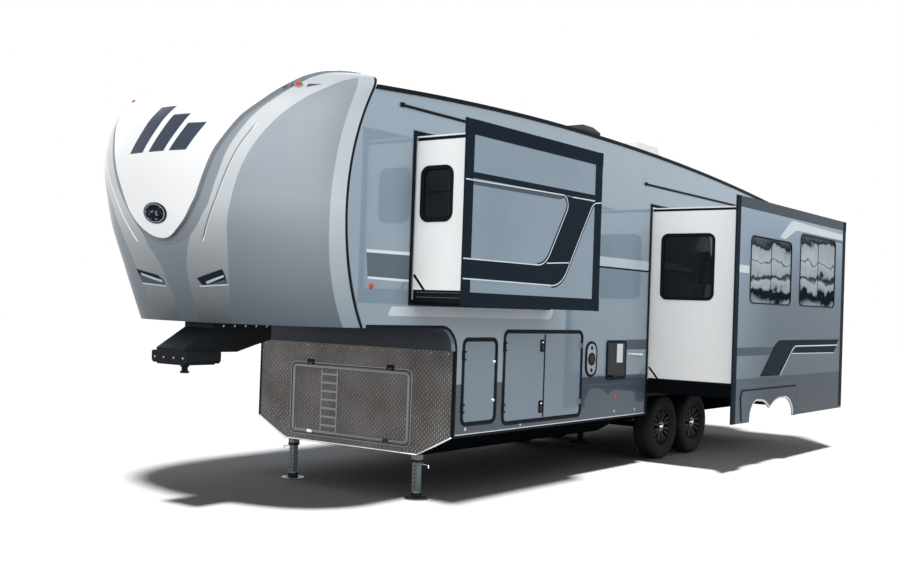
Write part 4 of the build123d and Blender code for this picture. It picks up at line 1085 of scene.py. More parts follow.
def wall_graphics():
    """Bands on the road-side wall, and its drip rails."""
    place = on_left()
    front = BED_X[1] + SLIDE_GAP + 0.028
    grey = [(front, 1.950), (5.705, 1.957), (5.732, 2.188), (front, 2.196)]
    stripe("front_stripe", [grey], place, m_stripe_grey)
    lines = [
        [(front, 2.168), (5.732, 2.163), (5.734, 2.188), (front, 2.196)],
        [(front, 1.946), (5.704, 1.953), (5.708, 1.972), (front, 1.966)],
    ]
    stripe("front_stripe_lines", lines, on_left(SIDE + 0.001), m_pin_stripe, BODY, 0.0006)
    sill = [(5.460, 1.660, 0.02), (5.390, 1.738, 0.02), (2.840, 1.765, 0.05), (2.93, 1.662, 0.06)]
    stripe("sill_stripe", [eased(sill, True, 5)], place, m_stripe_pale, BODY, 0.0020)
    stripe("white_band", [slab(PILLAR_X, (2.247, 2.350))], place, m_stripe_pale)
    stripe("white_band_shadow", [slab(PILLAR_X, (2.228, 2.247))], place, m_stripe_dark)
    stripe("vent_band", [slab((PILLAR_X[0], 1.300), (1.346, 1.456))], place, m_stripe_mid)
    rail_y = (SIDE, SIDE + 0.016)
    boxes("drip_rail_rear", [((-2.9, 0.94), rail_y, (3.218, 3.240))], TRIM)
    boxes("drip_rail_front", [((2.88, 5.345), rail_y, (3.390, 3.410))], TRIM)
    spots = ((5.375, 3.400), (0.970, 3.229))
    ends = [((x - 0.045, x), (SIDE, SIDE + 0.022), (z - 0.016, z + 0.020)) for x, z in spots]
    boxes("drip_rail_ends", ends, TRIM, BODY, 0.006)


TRIM_WIDE = 0.026


def corner_trim():
    """Black edging along the deck, round the cove, down the front corners and along the skirts' foot, and a
    pale line above the road-side skirt's foot that is a painted highlight.
    """
    turns = [pi - pi / 2 * step / 12 for step in range(13)]
    arc, inner_arc = (
        [(COVE_X + radius * cos(turn), COVE_Z + radius * sin(turn)) for turn in turns]
        for radius in (COVE_R, COVE_R + TRIM_WIDE)
    )
    start = seam_x(DECK_Z) - 0.03
    foot = SKIRT_Z + 0.002
    outline = [(start, DECK_Z)] + arc[::-1] + [(LOWER_FRONT_X, foot), (LOWER_FRONT_X - TRIM_WIDE, foot)]
    outline += inner_arc + [(start, DECK_Z + TRIM_WIDE)]
    for name, place in (("left", on_left()), ("right", on_right())):
        reliefs("corner_trim_" + name, [outline], [(0, 0), (0, 0.005), (0.002, 0.007)], place, TRIM)
    front_x = (PLATE_X - 0.002, PLATE_X + 0.006)
    corners = [(front_x, ordered(sign * SIDE, sign * (SIDE - 0.016)), (SKIRT_Z, COVE_Z)) for sign in (1, -1)]
    boxes("corner_trim_front", corners, TRIM, BODY, 0.002)
    left_y = (SIDE - 0.03, SIDE + 0.006)
    right_y = (-SIDE - 0.006, -SIDE + 0.03)
    z = (SKIRT_Z - 0.012, SKIRT_Z + 0.008)
    main_front = MAIN_X[1] + SLIDE_GAP
    boxes("skirt_edging", [
        ((main_front, LOWER_FRONT_X), left_y, z), ((REAR_X, MAIN_X[0] - SLIDE_GAP), left_y, z),
        ((0.36, LOWER_FRONT_X), right_y, z), ((REAR_X, -1.06), right_y, z),
    ], TRIM, BODY, 0.002)
    # painted highlight: a thin pale line along the top of the skirt's black foot
    line = slab((main_front, LOWER_FRONT_X - 0.03), (0.611, 0.619))
    stripe("skirt_foot_painted_highlight", [line], on_left(), m_pin_stripe)


RUNNER_IN = 0.40
RUNNER_HALF = 0.07
ARM = 0.08


def opening_trims():
    """Black seal frames on the wall round both slide-outs, and the trims on their end walls, with two painted
    highlight lines on the bed slide's foot.
    """
    y = (SIDE - 0.01, SIDE + 0.012)
    for name, ends, low, high, foot in (
        ("bed", BED_X, BED_FLOOR_Z - SLIDE_GAP, BED_TOP_Z, TRIM_WIDE),
        ("main", MAIN_X, SKIRT_Z, MAIN_TOP_Z, 0),
    ):
        x = (ends[0] - SLIDE_GAP, ends[1] + SLIDE_GAP)
        top = high + SLIDE_GAP
        z = (low - foot, top + TRIM_WIDE)
        bars = [((x[1], x[1] + TRIM_WIDE), y, z), ((x[0] - TRIM_WIDE, x[0]), y, z)]
        bars.append((x, y, (top, top + TRIM_WIDE)))
        if foot:
            bars.append((x, y, (low - foot, low)))
        boxes(name + "_seal_frame", bars, TRIM)
    for name, body, face_x, y_end, low, high, foot in (
        ("bed", BED, BED_X[1], BED_FACE_Y - BED_FACE_T, BED_FLOOR_Z, BED_TOP_Z, 0.085),
        ("main", MAIN, MAIN_X[1], MAIN_FACE_Y - MAIN_FACE_T, MAIN_FLOOR_Z, MAIN_TOP_Z, 0.016),
    ):
        place = on_front(face_x)
        start = SIDE + 0.014
        for part, z in (("top", (high - 0.040, high - 0.014)), ("foot", (low, low + foot))):
            stripe(f"{name}_end_{part}", [slab((start, y_end), z)], place, m_black, body, 0.003)
        brace = band([(start + 0.002, low + foot + 0.125), (start + 0.115, low + foot - 0.004)], 0.022)
        stripe(name + "_end_brace", [brace], place, m_black, body, 0.002)
    # painted highlights: two paler lines across the black foot of the bed slide's end wall
    line_y = (SIDE + 0.05, BED_FACE_Y - 0.03)
    lines = [slab(line_y, (BED_FLOOR_Z + up, BED_FLOOR_Z + up + 0.006)) for up in (0.022, 0.062)]
    stripe("bed_foot_painted_highlights", lines, on_front(BED_X[1] + 0.003), m_stripe_mid, BED)
    near = BED_X[0] + RUNNER_IN
    far = BED_X[1] - RUNNER_IN
    y = (SIDE + 0.015, BED_FACE_Y - BED_FACE_T)
    z = (BED_FLOOR_Z - 0.016, BED_FLOOR_Z)
    between = (near + RUNNER_HALF, far - RUNNER_HALF)
    spans = [((BED_X[0], near - RUNNER_HALF), y, z), (between, y, z), ((far + RUNNER_HALF, BED_X[1]), y, z)]
    boxes("bed_floor_edge", spans, TRIM, BED, 0.002)
    x = (MAIN_X[0] + ARM, MAIN_X[1] - ARM)
    seal = (x, (SIDE - 0.035, SIDE - 0.015), (CABIN_FLOOR_Z, MAIN_FLOOR_Z - 0.003))
    boxes("main_wiper_seal", [seal], TRIM, BODY, 0.002)


DOOR_R = 0.05
NARROW_DOOR = ((3.868, 4.355), (0.718, 1.451))
DOUBLE_DOOR = ((2.295, 3.703), (0.686, 1.526))
RIGHT_BAGGAGE = ((2.95, 4.15), (0.70, 1.45))
ENTRY = ((1.35, 2.05), (0.88, 2.83))
EDGE_WIDE = 0.032
EDGING = [(0, 0), (0, 0.008), (0.004, 0.011), (EDGE_WIDE - 0.006, 0.011), (EDGE_WIDE, 0.006), (EDGE_WIDE, 0)]
DOOR_LOCK = [(0, 0.016), (0.006, 0.016), (0.008, 0.013), (0.018, 0.012), (0.020, 0.009)]


def edging(name, door, place):
    """The black frame round a door's opening."""
    rim(name, grown(*door, EDGE_WIDE, DOOR_R + EDGE_WIDE), EDGING, place)


def latch(name, x, z, place, body):
    """A folding latch: a rounded plate with a paddle and a lock."""
    back = rounded((x - 0.035, x + 0.035), (z - 0.062, z + 0.062), 0.020)
    paddle = rounded((x - 0.020, x + 0.020), (z - 0.044, z + 0.012), 0.012)
    lock = [(0, 0.009), (0.002, 0.014), (0.005, 0.014), (0.006, 0.012)]
    reliefs(name + "_plate", [back], [(0, 0), (0, 0.005), (0.004, 0.009)], place, m_black, body)
    reliefs(name + "_paddle", [paddle], [(0, 0.009), (0.003, 0.013)], place, m_dark, body)
    reliefs(name + "_lock", [circle((x, z + 0.034), 0.011)], lock, place, m_chrome, body)


def storage_doors():
    edging("narrow_door_edging", NARROW_DOOR, on_left())
    edging("double_door_edging", DOUBLE_DOOR, on_left())
    edging("right_door_edging", RIGHT_BAGGAGE, on_right())
    strip = slab((2.9985, 3.014), (0.700, 1.512))
    profile = [(0, 0), (0, 0.004), (0.002, 0.006)]
    reliefs("double_door_strip", [strip], profile, on_left(), TRIM, "baggage_door_front")
    for name, left_z, right_z in (("80", 0.80, 0.80), ("140", 1.40, 1.34)):
        latch("front_latch_" + name, 3.056, left_z, on_left(), "baggage_door_front")
        latch("right_latch_" + name, 3.03, right_z, on_right(), "baggage_door_right")
    for name, z in (("905", 0.905), ("1262", 1.262)):
        lathes("narrow_lock_" + name, DOOR_LOCK, [(3.895, SIDE, z)], TO_LEFT, m_chrome, "baggage_door_narrow")


PORT_X = (1.965, 2.20)
PORT_CENTRE = (2.0825, 1.2525)
PORT_RING = [(0.001, 0.070), (0.008, 0.068), (0.010, 0.058), (0.006, 0.052)]
PORT_CAP = [(0.003, 0.050), (0.009, 0.046), (0.010, 0.020), (0.014, 0.014), (0.014, 0.002)]
PORT_HOLE = [(0.001, 0.022), (0.005, 0.021), (0.006, 0.013), (0.003, 0.011)]
HANDLE_ENDS = [(1.215, 1.296), (0.935, 1.286)]
LAMP_DOME = [(0, 0.022), (0.004, 0.022), (0.010, 0.016), (0.013, 0.008), (0.014, 0.001)]
SMALL_DOME = [(0, 0.017), (0.004, 0.016), (0.007, 0.010), (0.008, 0.001)]
FRONT_MARKER = [(0, 0.024), (0.006, 0.024), (0.014, 0.018), (0.018, 0.009), (0.019, 0.001)]
AMBER_SPOTS = [(1.53, 0.828), (-2.98, 0.828)]
CLEAR_SPOTS = [(1.533, 0.674), (1.056, 0.668), (3.41, 0.648), (4.31, 0.660)]
MARKER_AT = (5.66, 1.896)


def utility_fittings():
    """The port with its caps, the control panel, the small handle and the lamps of the road side."""
    place = on_left(SIDE + 0.010)
    outline = rounded(PORT_X, (1.065, 1.44), 0.110, 8)
    rim("port_rim", outline, [(0, 0), (0.002, 0.004), (0.020, 0.006), (0.026, 0.002)], place)
    reliefs("port_plate", [outline], [(0.025, 0.001), (0.026, 0.002)], place, m_steel)
    centre = on_wall([PORT_CENTRE], SIDE + 0.010)
    lathes("port_ring", PORT_RING, centre, TO_LEFT, m_black)
    lathes("port_cap", PORT_CAP, centre, TO_LEFT, m_dark)
    for name, z in (("1135", 1.135), ("1370", 1.370)):
        lathes("port_hole_" + name, PORT_HOLE, on_wall([(PORT_CENTRE[0], z)], SIDE + 0.010), TO_LEFT, m_black)
    place = on_left(SIDE + 0.012)
    outline = rounded((1.310, 1.750), (1.022, 1.450), 0.040, 8)
    rim("panel_rim", outline, [(0, 0), (0.002, 0.005), (0.022, 0.005), (0.028, 0.001)], place)
    reliefs("panel_cover", [outline], [(0.027, 0.0005), (0.028, 0.0015)], place, m_glass)
    card = rounded((1.395, 1.530), (1.205, 1.410), 0.004)
    pull = rounded((1.46, 1.60), (1.050, 1.085), 0.015)
    reliefs("panel_card", [card], [(0, 0.0015), (0, 0.0022)], place, m_stripe_pale)
    reliefs("panel_pull", [pull], [(0, 0), (0.002, 0.006), (0.006, 0.008)], place, m_dark)
    path = []
    for (x, z), inward in zip(HANDLE_ENDS, (-1, 1)):
        bend = [(x, SIDE, z), (x + inward * 0.002, SIDE + 0.024, z), (x + inward * 0.010, SIDE + 0.030, z)]
        path += bend[::-inward]
    tube("left_handle", path, 0.010, m_white_plastic)
    feet = [(0, 0.020), (0.004, 0.020), (0.006, 0.016)]
    lathes("left_handle_feet", feet, on_wall(HANDLE_ENDS), TO_LEFT, m_chrome)
    lathes("side_amber", LAMP_DOME, on_wall(AMBER_SPOTS), TO_LEFT, m_amber)
    lathes("side_clear", SMALL_DOME, on_wall(CLEAR_SPOTS), TO_LEFT, m_lens)
    piece = lathes("front_markers", FRONT_MARKER, on_wall([MARKER_AT]), TO_LEFT, m_amber)
    lathes("front_markers_right", FRONT_MARKER, on_wall([MARKER_AT], -SIDE), TO_RIGHT, m_amber)
    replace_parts(piece, "marker_lights")


HATCH_Y = (-0.77, 0.74)
HATCH_Z = (0.472, 1.160)
STRIP_Y = (-0.365, -0.165)
SURROUND = [(0, 0), (0.001, 0.003), (0.011, 0.003), (0.012, 0)]
HATCH_FRAME = [(0, 0), (0.002, 0.005), (0.012, 0.0065), (0.022, 0.005), (0.026, 0.001)]


def basement():
    """The front hatch's frames, rungs and latches, and the plate's edges and rivets."""
    place = on_front(PLATE_X)
    low, high = HATCH_Z
    rim("hatch_surround", grown(HATCH_Y, HATCH_Z, 0.012, 0.062), SURROUND, place, BODY, m_plate_trim)
    rim("hatch_frame", grown(HATCH_Y, HATCH_Z, -0.018, 0.045), HATCH_FRAME, place, "front_hatch",
        m_plate_trim)
    rungs = [slab((y - 0.008, y + 0.008), (low + 0.045, high - 0.045)) for y in STRIP_Y]
    for index in range(7):
        z = low + 0.10 + index * 0.082
        rungs.append(slab((STRIP_Y[0] + 0.008, STRIP_Y[1] - 0.008), (z - 0.010, z + 0.010)))
    stripe("hatch_rungs", rungs, place, m_plate_trim, "front_hatch", 0.0025)
    for name, y, material in (("1", -0.505, m_chrome), ("2", 0.46, m_dark)):
        outline = rounded((y - 0.035, y + 0.035), (low + 0.012, low + 0.045), 0.010)
        profile = [(0, 0), (0.001, 0.008), (0.004, 0.011)]
        reliefs("hatch_latch_" + name, [outline], profile, place, material, "front_hatch")
    edges = []
    for sign in (1, -1):
        edges.append(band([(sign * (SIDE - 0.006), SKIRT_Z - 0.002), (sign * PAN_FLAT, PAN_Z + 0.004)],
                          0.016))
    edges.append(slab((-PAN_FLAT, PAN_FLAT), (PAN_Z, PAN_Z + 0.014)))
    reliefs("plate_edges", edges, [(0, 0), (0.001, 0.005), (0.003, 0.006)], place, m_chrome)
    rivets = [circle((-1.15 + index * 2.3 / 12, COVE_Z - 0.025), 0.006, 10) for index in range(13)]
    reliefs("plate_rivets", rivets, [(0, 0), (0.001, 0.002), (0.003, 0.003)], place, m_steel)


LEG_PARTS = [("collar", 0.041, (0.330, 0.352), m_black_paint, 0.003),
             ("sleeve", 0.0395, (0.352, 0.600), m_leg, 0.004)]
LEG_NECK = [(0.012, 0.060), (0.020, 0.052), (0.055, 0.050), (0.072, 0.036)]
LEG_FOOT = [(0.0, 0.112), (0.004, 0.112), (0.010, 0.106), (0.0135, 0.085), (0.0135, 0.020)]
LEG_PIN = [(0, 0.318), (0.104, 0.318), (0.13, 0.312), (0.1365, 0.290)]


def landing_legs():
    """Collars, sleeves, holes, pins and feet of the landing legs."""
    for side, sign in (("left", 1), ("right", -1)):
        y = sign * LEG_Y
        for part, half, z, material, bevel in LEG_PARTS:
            span = ((LEG_X - half, LEG_X + half), (y - half, y + half), z)
            boxes(f"leg_{part}_{side}", [span], material, BODY, bevel)
        holes = [circle((y, 0.110 + index * 0.038), 0.008, 14) for index in range(6)]
        reliefs("leg_holes_" + side, holes, [(0, 0), (0.001, 0.0008)], on_front(LEG_X + 0.030), m_black)
        tube("leg_pin_" + side, [(LEG_X, y + sign * out, z) for out, z in LEG_PIN], 0.007, m_chrome)
        lathes("leg_neck_" + side, LEG_NECK, [(LEG_X, y, 0)], UP, m_black_paint)
        lathes("leg_foot_" + side, LEG_FOOT, [(LEG_X, y, 0)], UP, m_black_paint)


PIN_BOX_HALF = 0.170
PIN_WEB = [
    (5.86, 1.50, 0.02), (6.34, 1.50, 0.02), (6.42, 1.475, 0.02), (6.60, 1.360, 0.01), (6.14, 1.345, 0.02),
    (5.92, 1.400, 0.02),
]


def pin_box():
    bolts = [circle((x, 1.535), 0.011, 8) for x in (5.78, 5.90, 6.02, 6.14, 6.26)]
    rib = [(0, 0), (0.001, 0.004), (0.008, 0.004), (0.010, 0.001)]
    for name, place in (("left", on_left(PIN_BOX_HALF)), ("right", on_right(PIN_BOX_HALF))):
        reliefs("pin_box_bolts_" + name, bolts, [(0, 0), (0.001, 0.007), (0.002, 0.008)], place, m_steel)
        reliefs("pin_box_rib_" + name, [eased(PIN_WEB)], rib, place, m_black_paint)
    head_bolts = [circle((y, 1.275), 0.009, 8) for y in (-0.17, -0.06, 0.06, 0.17)]
    reliefs("pin_head_bolts", head_bolts, [(0, 0), (0.001, 0.006), (0.002, 0.007)], on_front(6.660), m_steel)
    boxes("pin_head_lip", [((6.315, 6.655), (-0.217, 0.217), (1.318, 1.327))], m_black_paint)


TREAD_SIDES = 120
# half of the tyre's section: distance from its middle, radius
TYRE_SECTION = [
    (-0.073, RIM_R + 0.001), (-0.086, RIM_R + 0.010), (-0.100, 0.232), (-0.1125, 0.262), (-TYRE_W / 2, 0.300),
    (-TYRE_W / 2 + 0.0005, 0.330), (-0.1135, 0.352), (-0.107, 0.366), (-0.097, 0.377), (-0.084, 0.384),
]
GROOVE = [(-0.006, 0.3905), (-0.004, 0.382), (0.004, 0.382), (0.006, 0.3905)]
NOTCH = 0.006
BARREL = [
    (-0.088, 0.213), (-0.080, 0.217), (-0.074, RIM_R + 0.001), (0.074, RIM_R + 0.001), (0.080, 0.217),
    (0.088, 0.219), (0.096, 0.217), (0.097, 0.208), (0.088, 0.200), (0.070, 0.190), (0.052, 0.184),
    (0.030, 0.182), (-0.080, 0.184), (-0.086, 0.200),
]
DRUM = [(-0.10, 0.030), (-0.10, 0.150), (0.012, 0.150), (0.020, 0.140), (0.022, 0.040)]
HUB = [(0.018, 0.072), (0.062, 0.066), (0.070, 0.058), (0.070, 0.036), (0.066, 0.034)]
HUB_CAP = [(0.060, 0.036), (0.088, 0.034), (0.098, 0.028), (0.102, 0.015), (0.103, 0.002)]
SPOKES = 8
SPOKE_R = (0.056, 0.190)
SPOKE_RISE = (0.068, 0.020)


def tyre(name, centre, sign, body):
    """A road tyre: grooved tread and notched shoulders."""
    tread = [(middle + out, radius) for middle in (-0.045, 0.0, 0.045) for out, radius in GROOVE]
    profile = TYRE_SECTION + tread + [(-y, radius) for y, radius in reversed(TYRE_SECTION)]
    rows = len(profile)
    shoulder = (7, 8, 9, rows - 10, rows - 9, rows - 8)
    points = []
    for row, (along, radius) in enumerate(profile):
        for step in range(TREAD_SIDES):
            size = radius - (NOTCH if row in shoulder and step % 3 == 0 else 0.0)
            angle = 2 * pi * step / TREAD_SIDES
            spot = (size * cos(angle), along * sign, size * sin(angle))
            points.append(Vector(centre) + Vector(spot))
    faces = ring_faces(0, rows, TREAD_SIDES)
    piece = make_object("road_tyre_" + name, points, faces, (m_tyre, "rubber_tyre"), body, None, 30)
    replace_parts(piece, "tyre_" + name)


def spokes(near_half, far_half, shift):
    """Pairs of tapering bars from the hub out, moved sideways by shift."""
    made = []
    for index in range(SPOKES):
        spin = 2 * pi * (index + 0.5) / SPOKES
        for split in (-1, 1):
            near = spin + split * 0.10
            far = spin + split * 0.155
            start = Vector((cos(near), sin(near))) * SPOKE_R[0]
            end = Vector((cos(far), sin(far))) * SPOKE_R[1]
            run = (end - start).normalized()
            side = Vector((-run.y, run.x))
            corners = [(start, near_half), (end, far_half), (end, -far_half), (start, -near_half)]
            made.append([tuple(spot + side * (shift * split + half)) for spot, half in corners])
    return made


def wheel(name, centre, sign):
    body = "wheel_" + name
    tyre(name, centre, sign, body)
    centre = Vector(centre)
    axis = (0, sign, 0)
    piece = lathes("wheel_rim_" + name, BARREL, [centre], axis, ALLOY, body, 64, True)
    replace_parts(piece, "rim_" + name)
    lathes("brake_drum_" + name, DRUM, [centre], axis, m_spring, body, 48)
    lathes("wheel_hub_" + name, HUB, [centre], axis, m_black_paint, body, 40)
    lathes("hub_cap_" + name, HUB_CAP, [centre], axis, m_chrome, body)

    def flat(a, b, h):
        return centre + Vector((a, sign * h, b))

    def dished(a, b, h):
        out = (hypot(a, b) - SPOKE_R[0]) / (SPOKE_R[1] - SPOKE_R[0])
        return flat(a, b, SPOKE_RISE[0] + SPOKE_RISE[1] * out + h)

    profile = [(0, -0.040), (0, -0.003), (0.002, 0.0)]
    reliefs("wheel_spokes_" + name, spokes(0.009, 0.012, 0), profile, dished, ALLOY, body)
    profile = [(0, -0.001), (0, 0.0008)]
    reliefs("spoke_faces_" + name, spokes(0.0022, 0.0030, 0.004), profile, dished, m_spoke, body)
    nuts = [circle(spot, 0.0085, 6) for spot in circle((0, 0), 0.049, SPOKES)]
    reliefs("wheel_nuts_" + name, nuts, [(0, 0.068), (0, 0.080), (0.002, 0.082)], flat, m_chrome, body)


def wheels():
    for end, x in (("front", AXLE_X[0]), ("rear", AXLE_X[1])):
        for side, sign in (("left", 1), ("right", -1)):
            wheel(f"{end}_{side}", (x, sign * TYRE_Y, HUB_Z), sign)


FLARE_PROUD = 0.012
FLARE_LINE = [(0.568, 0.60), (0.609, 0.852), (0.568, 0.934), (-1.136, 0.934), (-1.159, 0.852), (-1.159, 0.60)]
# the arch cut-outs as arcs through three points, from the front foot to the rear foot
ARCH_ARCS = [
    ((0.350, 0.660), (0.255, 0.783), (0.050, 0.815)), ((0.050, 0.815), (-0.135, 0.790), (-0.265, 0.722)),
    ((-0.265, 0.722), (-0.405, 0.785), (-0.690, 0.815)), ((-0.690, 0.815), (-0.945, 0.765), (-1.050, 0.660)),
]
ARCH_FEET = [(0.366, 0.585), (-1.066, 0.585)]


def arc_through(first, middle, last, steps=10):
    ax, ay = first
    bx, by = middle
    cx, cy = last
    twice = 2 * (ax * (by - cy) + bx * (cy - ay) + cx * (ay - by))
    far = [px**2 + py**2 for px, py in (first, middle, last)]
    x = (far[0] * (by - cy) + far[1] * (cy - ay) + far[2] * (ay - by)) / twice
    y = (far[0] * (cx - bx) + far[1] * (ax - cx) + far[2] * (bx - ax)) / twice
    radius = sqrt((ax - x) ** 2 + (ay - y) ** 2)
    start = atan2(ay - y, ax - x)
    turn = (atan2(cy - y, cx - x) - start + pi) % (2 * pi) - pi
    angles = [start + turn * step / steps for step in range(steps + 1)]
    return [(x + radius * cos(angle), y + radius * sin(angle)) for angle in angles]


def arch_edges():
    """A rolled lip inside the wheel arches, painted pale as a highlight, and the line round the raised panel.
    """
    curve = [point for arc in ARCH_ARCS for point in arc_through(*arc)] + ARCH_FEET[1:]
    path = ARCH_FEET[:1]
    for point in curve:
        if (Vector(point) - Vector(path[-1])).length > 0.004:
            path.append(point)
    low = FLARE_PROUD - 0.0015
    profile = [(0, -0.010), (0, low - 0.004), (0.006, low)]
    line = band(FLARE_LINE, 0.014)
    for name, place, body in (("main", on_left(MAIN_FACE_Y), MAIN), ("right", on_right(), BODY)):
        # the lip is real, its pale colour a painted highlight
        reliefs(name + "_arch_lip", [band(path, 0.044)], profile, place, m_stripe_pale, body)
        stripe(name + "_panel_line", [line], place, m_border, body, FLARE_PROUD - 0.004)


def roof_details():
    """The air conditioner's grilles."""
    levels = [3.70 + index * 0.018 for index in range(9)]
    rear = [((-1.101, -1.096), (-0.30, 0.30), (z, z + 0.008)) for z in levels]
    boxes("cooler_grille_rear", rear, m_dark, BODY, 0.001)
    slots = []
    for y in ((0.374, 0.379), (-0.379, -0.374)):
        for x in [-0.99 + index * 0.062 for index in range(8)]:
            slots.append(((x, x + 0.030), y, (3.72, 3.83)))
    boxes("cooler_grille_sides", slots, m_dark, BODY, 0.001)


PORCH_AT = (2.25, 2.35)
PORCH_DOME = [(0.014, 0.056), (0.034, 0.048), (0.046, 0.030), (0.050, 0.002)]
PANEL_RELIEF = [(0, 0), (0.003, 0.004), (0.012, 0.004), (0.016, 0.001)]
GRIP = [(0.014, 1.575), (0.040, 1.565), (0.040, 1.475), (0.014, 1.465)]


def entry_side():
    """The entry door's edging, latch, grip and panel, and the porch light."""
    edging("entry_edging", ENTRY, on_right())
    place = on_right()
    handle = rounded((1.400, 1.500), (1.44, 1.60), 0.02)
    reliefs("entry_latch", [handle], [(0, 0), (0.002, 0.010), (0.008, 0.014)], place, m_black, "entry_door")
    tube("entry_grip", [(1.43, -SIDE - out, z) for out, z in GRIP], 0.008, m_chrome, "entry_door")
    panel = rounded((1.46, 1.94), (1.00, 1.36), 0.03)
    rim("entry_panels", panel, PANEL_RELIEF, place, "entry_door", (m_side, "wall_paint"))
    spot = on_wall([PORCH_AT], -SIDE)
    lathes("porch_light_base", [(0, 0.070), (0.010, 0.070), (0.016, 0.060)], spot, TO_RIGHT, m_black)
    lathes("porch_light", PORCH_DOME, spot, TO_RIGHT, m_lens)


# tail lights: name, height span, material
TAIL_LIGHTS = [
    ("brake", (1.42, 1.64), m_red), ("turn", (1.335, 1.415), m_amber), ("reverse", (1.26, 1.33), m_lens),
]
LENS_RELIEF = [(0, 0), (0.002, 0.008), (0.010, 0.012)]


def rear_side():
    """Tail and marker lights, and the rear corners' trims."""
    bars = []
    for side, sign in (("left", 1), ("right", -1)):
        y = sign * (SIDE - 0.140)
        for name, z, material in TAIL_LIGHTS:
            outline = rounded((y - 0.052, y + 0.052), z, 0.015)
            reliefs(f"tail_{name}_{side}", [outline], LENS_RELIEF, on_rear(REAR_X - 0.025), material)
        bar_y = ordered(sign * (SIDE - 0.03), sign * (SIDE + 0.004))
        bars.append(((REAR_X - 0.006, REAR_X), bar_y, (SKIRT_Z, REAR_ROOF_Z - 0.04)))
    marks = [circle((y, 3.20), 0.022, 20) for y in (-0.15, 0.0, 0.15, -1.05, 1.05)]
    reliefs("rear_markers", marks, [(0, 0), (0.002, 0.010), (0.010, 0.016)], on_rear(REAR_X), m_red)
    boxes("rear_corner_trims", bars, TRIM, BODY, 0.002)


# materials of the solids that show
LOOKS = [
    (m_side, "wall_left wall_right wall_rear skirts baggage_door_right entry_door"),
    (m_door_shaded, "baggage_door_narrow baggage_door_front baggage_door_rear"),
    (m_outer, "main_slide_face"),
    (m_bed_outer, "bed_slide_face"),
    (m_white_wall, "main_slide_box bed_slide_box"),
    (m_roof, "roof"),
    (m_black, "roof_edges tail_lights utility_hatches"),
    (m_floor, "floor_main"),
    (m_dark, "upper_deck storage_walls skylight awning"),
    (m_plate, "basement_front front_hatch"),
    (m_cove, "front_cove"),
    (m_under, "frame_rails cross_members underbelly stabiliser_jacks axles slide_underframe"),
    (m_black_paint, "pin_box pin_head bumper entry_steps door_hinges slide_runners"),
    (m_leg, "landing_legs"),
    (m_spring, "springs"),
    (m_white_plastic, "air_conditioner roof_vents"),
    (m_steel, "ladder"),
    (m_chrome, "grab_handle"),
]


def dress_solids():
    """Materials for the solids that show, with crisp edges."""
    for material, names in LOOKS:
        for name in names.split():
            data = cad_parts[name].data
            data.materials.clear()
            data.materials.append(material)
    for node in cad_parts.values():
        node.data.polygons.foreach_set("use_smooth", [True] * len(node.data.polygons))
        node.data.set_sharp_from_angle(angle=radians(32))


def seen_rays(tree):
    """1 for rays that show the background: straight from the camera, mirrored or through glass."""
    path = tree.nodes.new("ShaderNodeLightPath")
    seen = path.outputs["Is Camera Ray"]
    for ray in ("Is Glossy Ray", "Is Transmission Ray"):
        either = tree.nodes.new("ShaderNodeMath")
        either.operation = "MAXIMUM"
        tree.links.new(seen, either.inputs[0])
        tree.links.new(path.outputs[ray], either.inputs[1])
        seen = either.outputs[0]
    return seen


FLOOR_HALF = 60
FLOOR_SEEN = (0.98, 0.98, 0.98)
FLOOR_BOUNCE = (0.42, 0.43, 0.44)
SKY_LIGHT = 0.12
# lamp: strength, spread in degrees, tilt toward the road side, tilt toward the front.  The shadow lamp
# lights only the floor, and the others everything else.
LAMPS = {
    "shadow_lamp": (3.35, 6, 18, 22),
    "overhead": (0.45, 12, 18, 22),
    "front_soft": (2.12, 50, 4, 72),
    "side_soft": (2.15, 50, 68, 6),
    "far_fill": (1.2, 60, -62, -35),
}


def add_floor():
    """A floor that looks white, and that throws less light up than it shows."""
    half = FLOOR_HALF
    mesh = bpy.data.meshes.new("ground")
    corners = [(-half, -half, 0), (half, -half, 0), (half, half, 0), (-half, half, 0)]
    mesh.from_pydata(corners, [], [(0, 1, 2, 3)])
    floor = bpy.data.objects.new("ground", mesh)
    floor.location.z = -0.0005
    bpy.context.scene.collection.objects.link(floor)
    shader = Shader("studio_floor", FLOOR_SEEN, 0.95, spec=0.0)
    mix = shader.node("Mix", data_type="RGBA")
    shader.link(seen_rays(shader.tree), mix.inputs["Factor"])
    grain = shader.noise(0.5)
    bounce = [(0.3, FLOOR_BOUNCE), (0.7, [v * 1.04 for v in FLOOR_BOUNCE])]
    shader.link(shader.ramp(grain, bounce), mix.inputs["A"])
    shader.link(shader.ramp(grain, [(0.3, FLOOR_SEEN), (0.7, (1, 1, 1))]), mix.inputs["B"])
    shader.color(mix.outputs["Result"])
    mesh.materials.append(shader.material)
    return floor


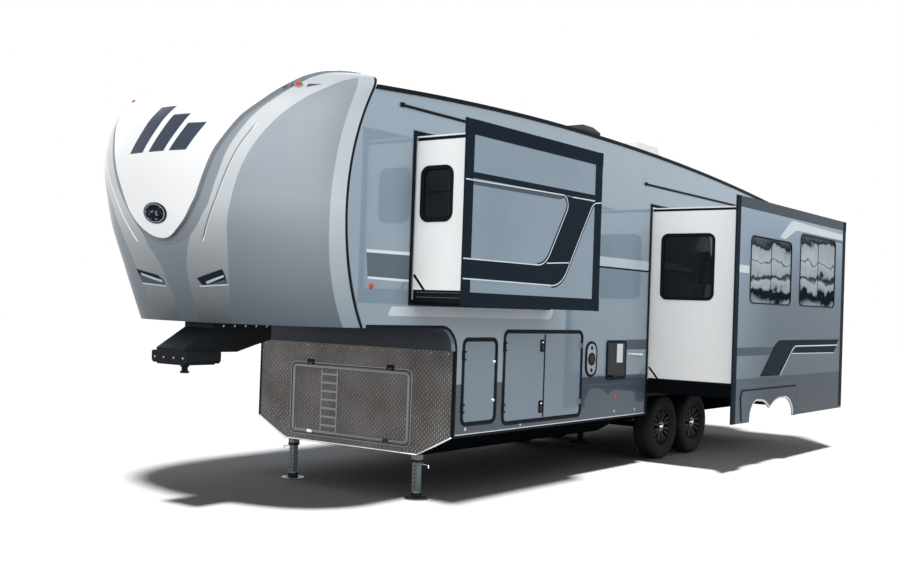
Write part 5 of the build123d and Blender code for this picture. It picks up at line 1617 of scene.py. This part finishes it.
def add_world():
    """A white backdrop that gives the object less light than it shows."""
    world = bpy.data.worlds.new("studio")
    bpy.context.scene.world = world
    world.use_nodes = True
    tree = world.node_tree
    tree.nodes.clear()
    output = tree.nodes.new("ShaderNodeOutputWorld")
    mix = tree.nodes.new("ShaderNodeMixShader")
    tree.links.new(seen_rays(tree), mix.inputs["Fac"])
    for socket, strength in ((1, SKY_LIGHT), (2, 1.0)):
        light = tree.nodes.new("ShaderNodeBackground")
        light.inputs["Color"].default_value = (1, 1, 1, 1)
        light.inputs["Strength"].default_value = strength
        tree.links.new(light.outputs["Background"], mix.inputs[socket])
    tree.links.new(mix.outputs["Shader"], output.inputs["Surface"])


def add_lamps(floor):
    only_floor = bpy.data.collections.new("only_floor")
    only_floor.objects.link(floor)
    not_floor = bpy.data.collections.new("not_floor")
    not_floor.objects.link(floor)
    not_floor.collection_objects[0].light_linking.link_state = "EXCLUDE"
    for name, (strength, spread, to_side, to_front) in LAMPS.items():
        data = bpy.data.lights.new(name, "SUN")
        data.energy = strength
        data.angle = radians(spread)
        lamp = bpy.data.objects.new(name, data)
        source = Vector((tan(radians(to_front)), tan(radians(to_side)), 1))
        lamp.rotation_euler = source.to_track_quat("Z", "Y").to_euler()
        bpy.context.scene.collection.objects.link(lamp)
        lamp.light_linking.receiver_collection = only_floor if name == "shadow_lamp" else not_floor


# the camera, fitted in the design frame
CAMERA_PLACE = Vector((12.3888, 7.0441, 1.7432))
CAMERA_RIGHT = Vector((-0.5982947, 0.80055633, 0.03395616))
CAMERA_DOWN = Vector((-0.03173871, 0.01866705, -0.99932187))
CAMERA_AHEAD = Vector((-0.80064731, -0.5989667, 0.01424023))
FOCAL_PIXELS = 1110.09
PICTURE_WIDTH = 900


def add_camera():
    data = bpy.data.cameras.new("camera")
    data.sensor_width = 36
    data.lens = FOCAL_PIXELS / PICTURE_WIDTH * data.sensor_width
    data.clip_end = 300
    camera = bpy.data.objects.new("camera", data)
    turn = Matrix((CAMERA_RIGHT, -CAMERA_DOWN, -CAMERA_AHEAD)).transposed().to_4x4()
    camera.matrix_world = Matrix.Translation(CAMERA_PLACE + SHIFT) @ turn
    bpy.context.scene.collection.objects.link(camera)
    bpy.context.scene.camera = camera
    bpy.context.scene.view_settings.view_transform = "Standard"


dress_solids()
build_cap()
cap_fittings()
windows()
bed_face()
main_face()
wall_graphics()
corner_trim()
opening_trims()
storage_doors()
utility_fittings()
basement()
landing_legs()
pin_box()
wheels()
arch_edges()
roof_details()
entry_side()
rear_side()
add_lamps(add_floor())
add_world()
add_camera()

bpy.context.view_layer.update()
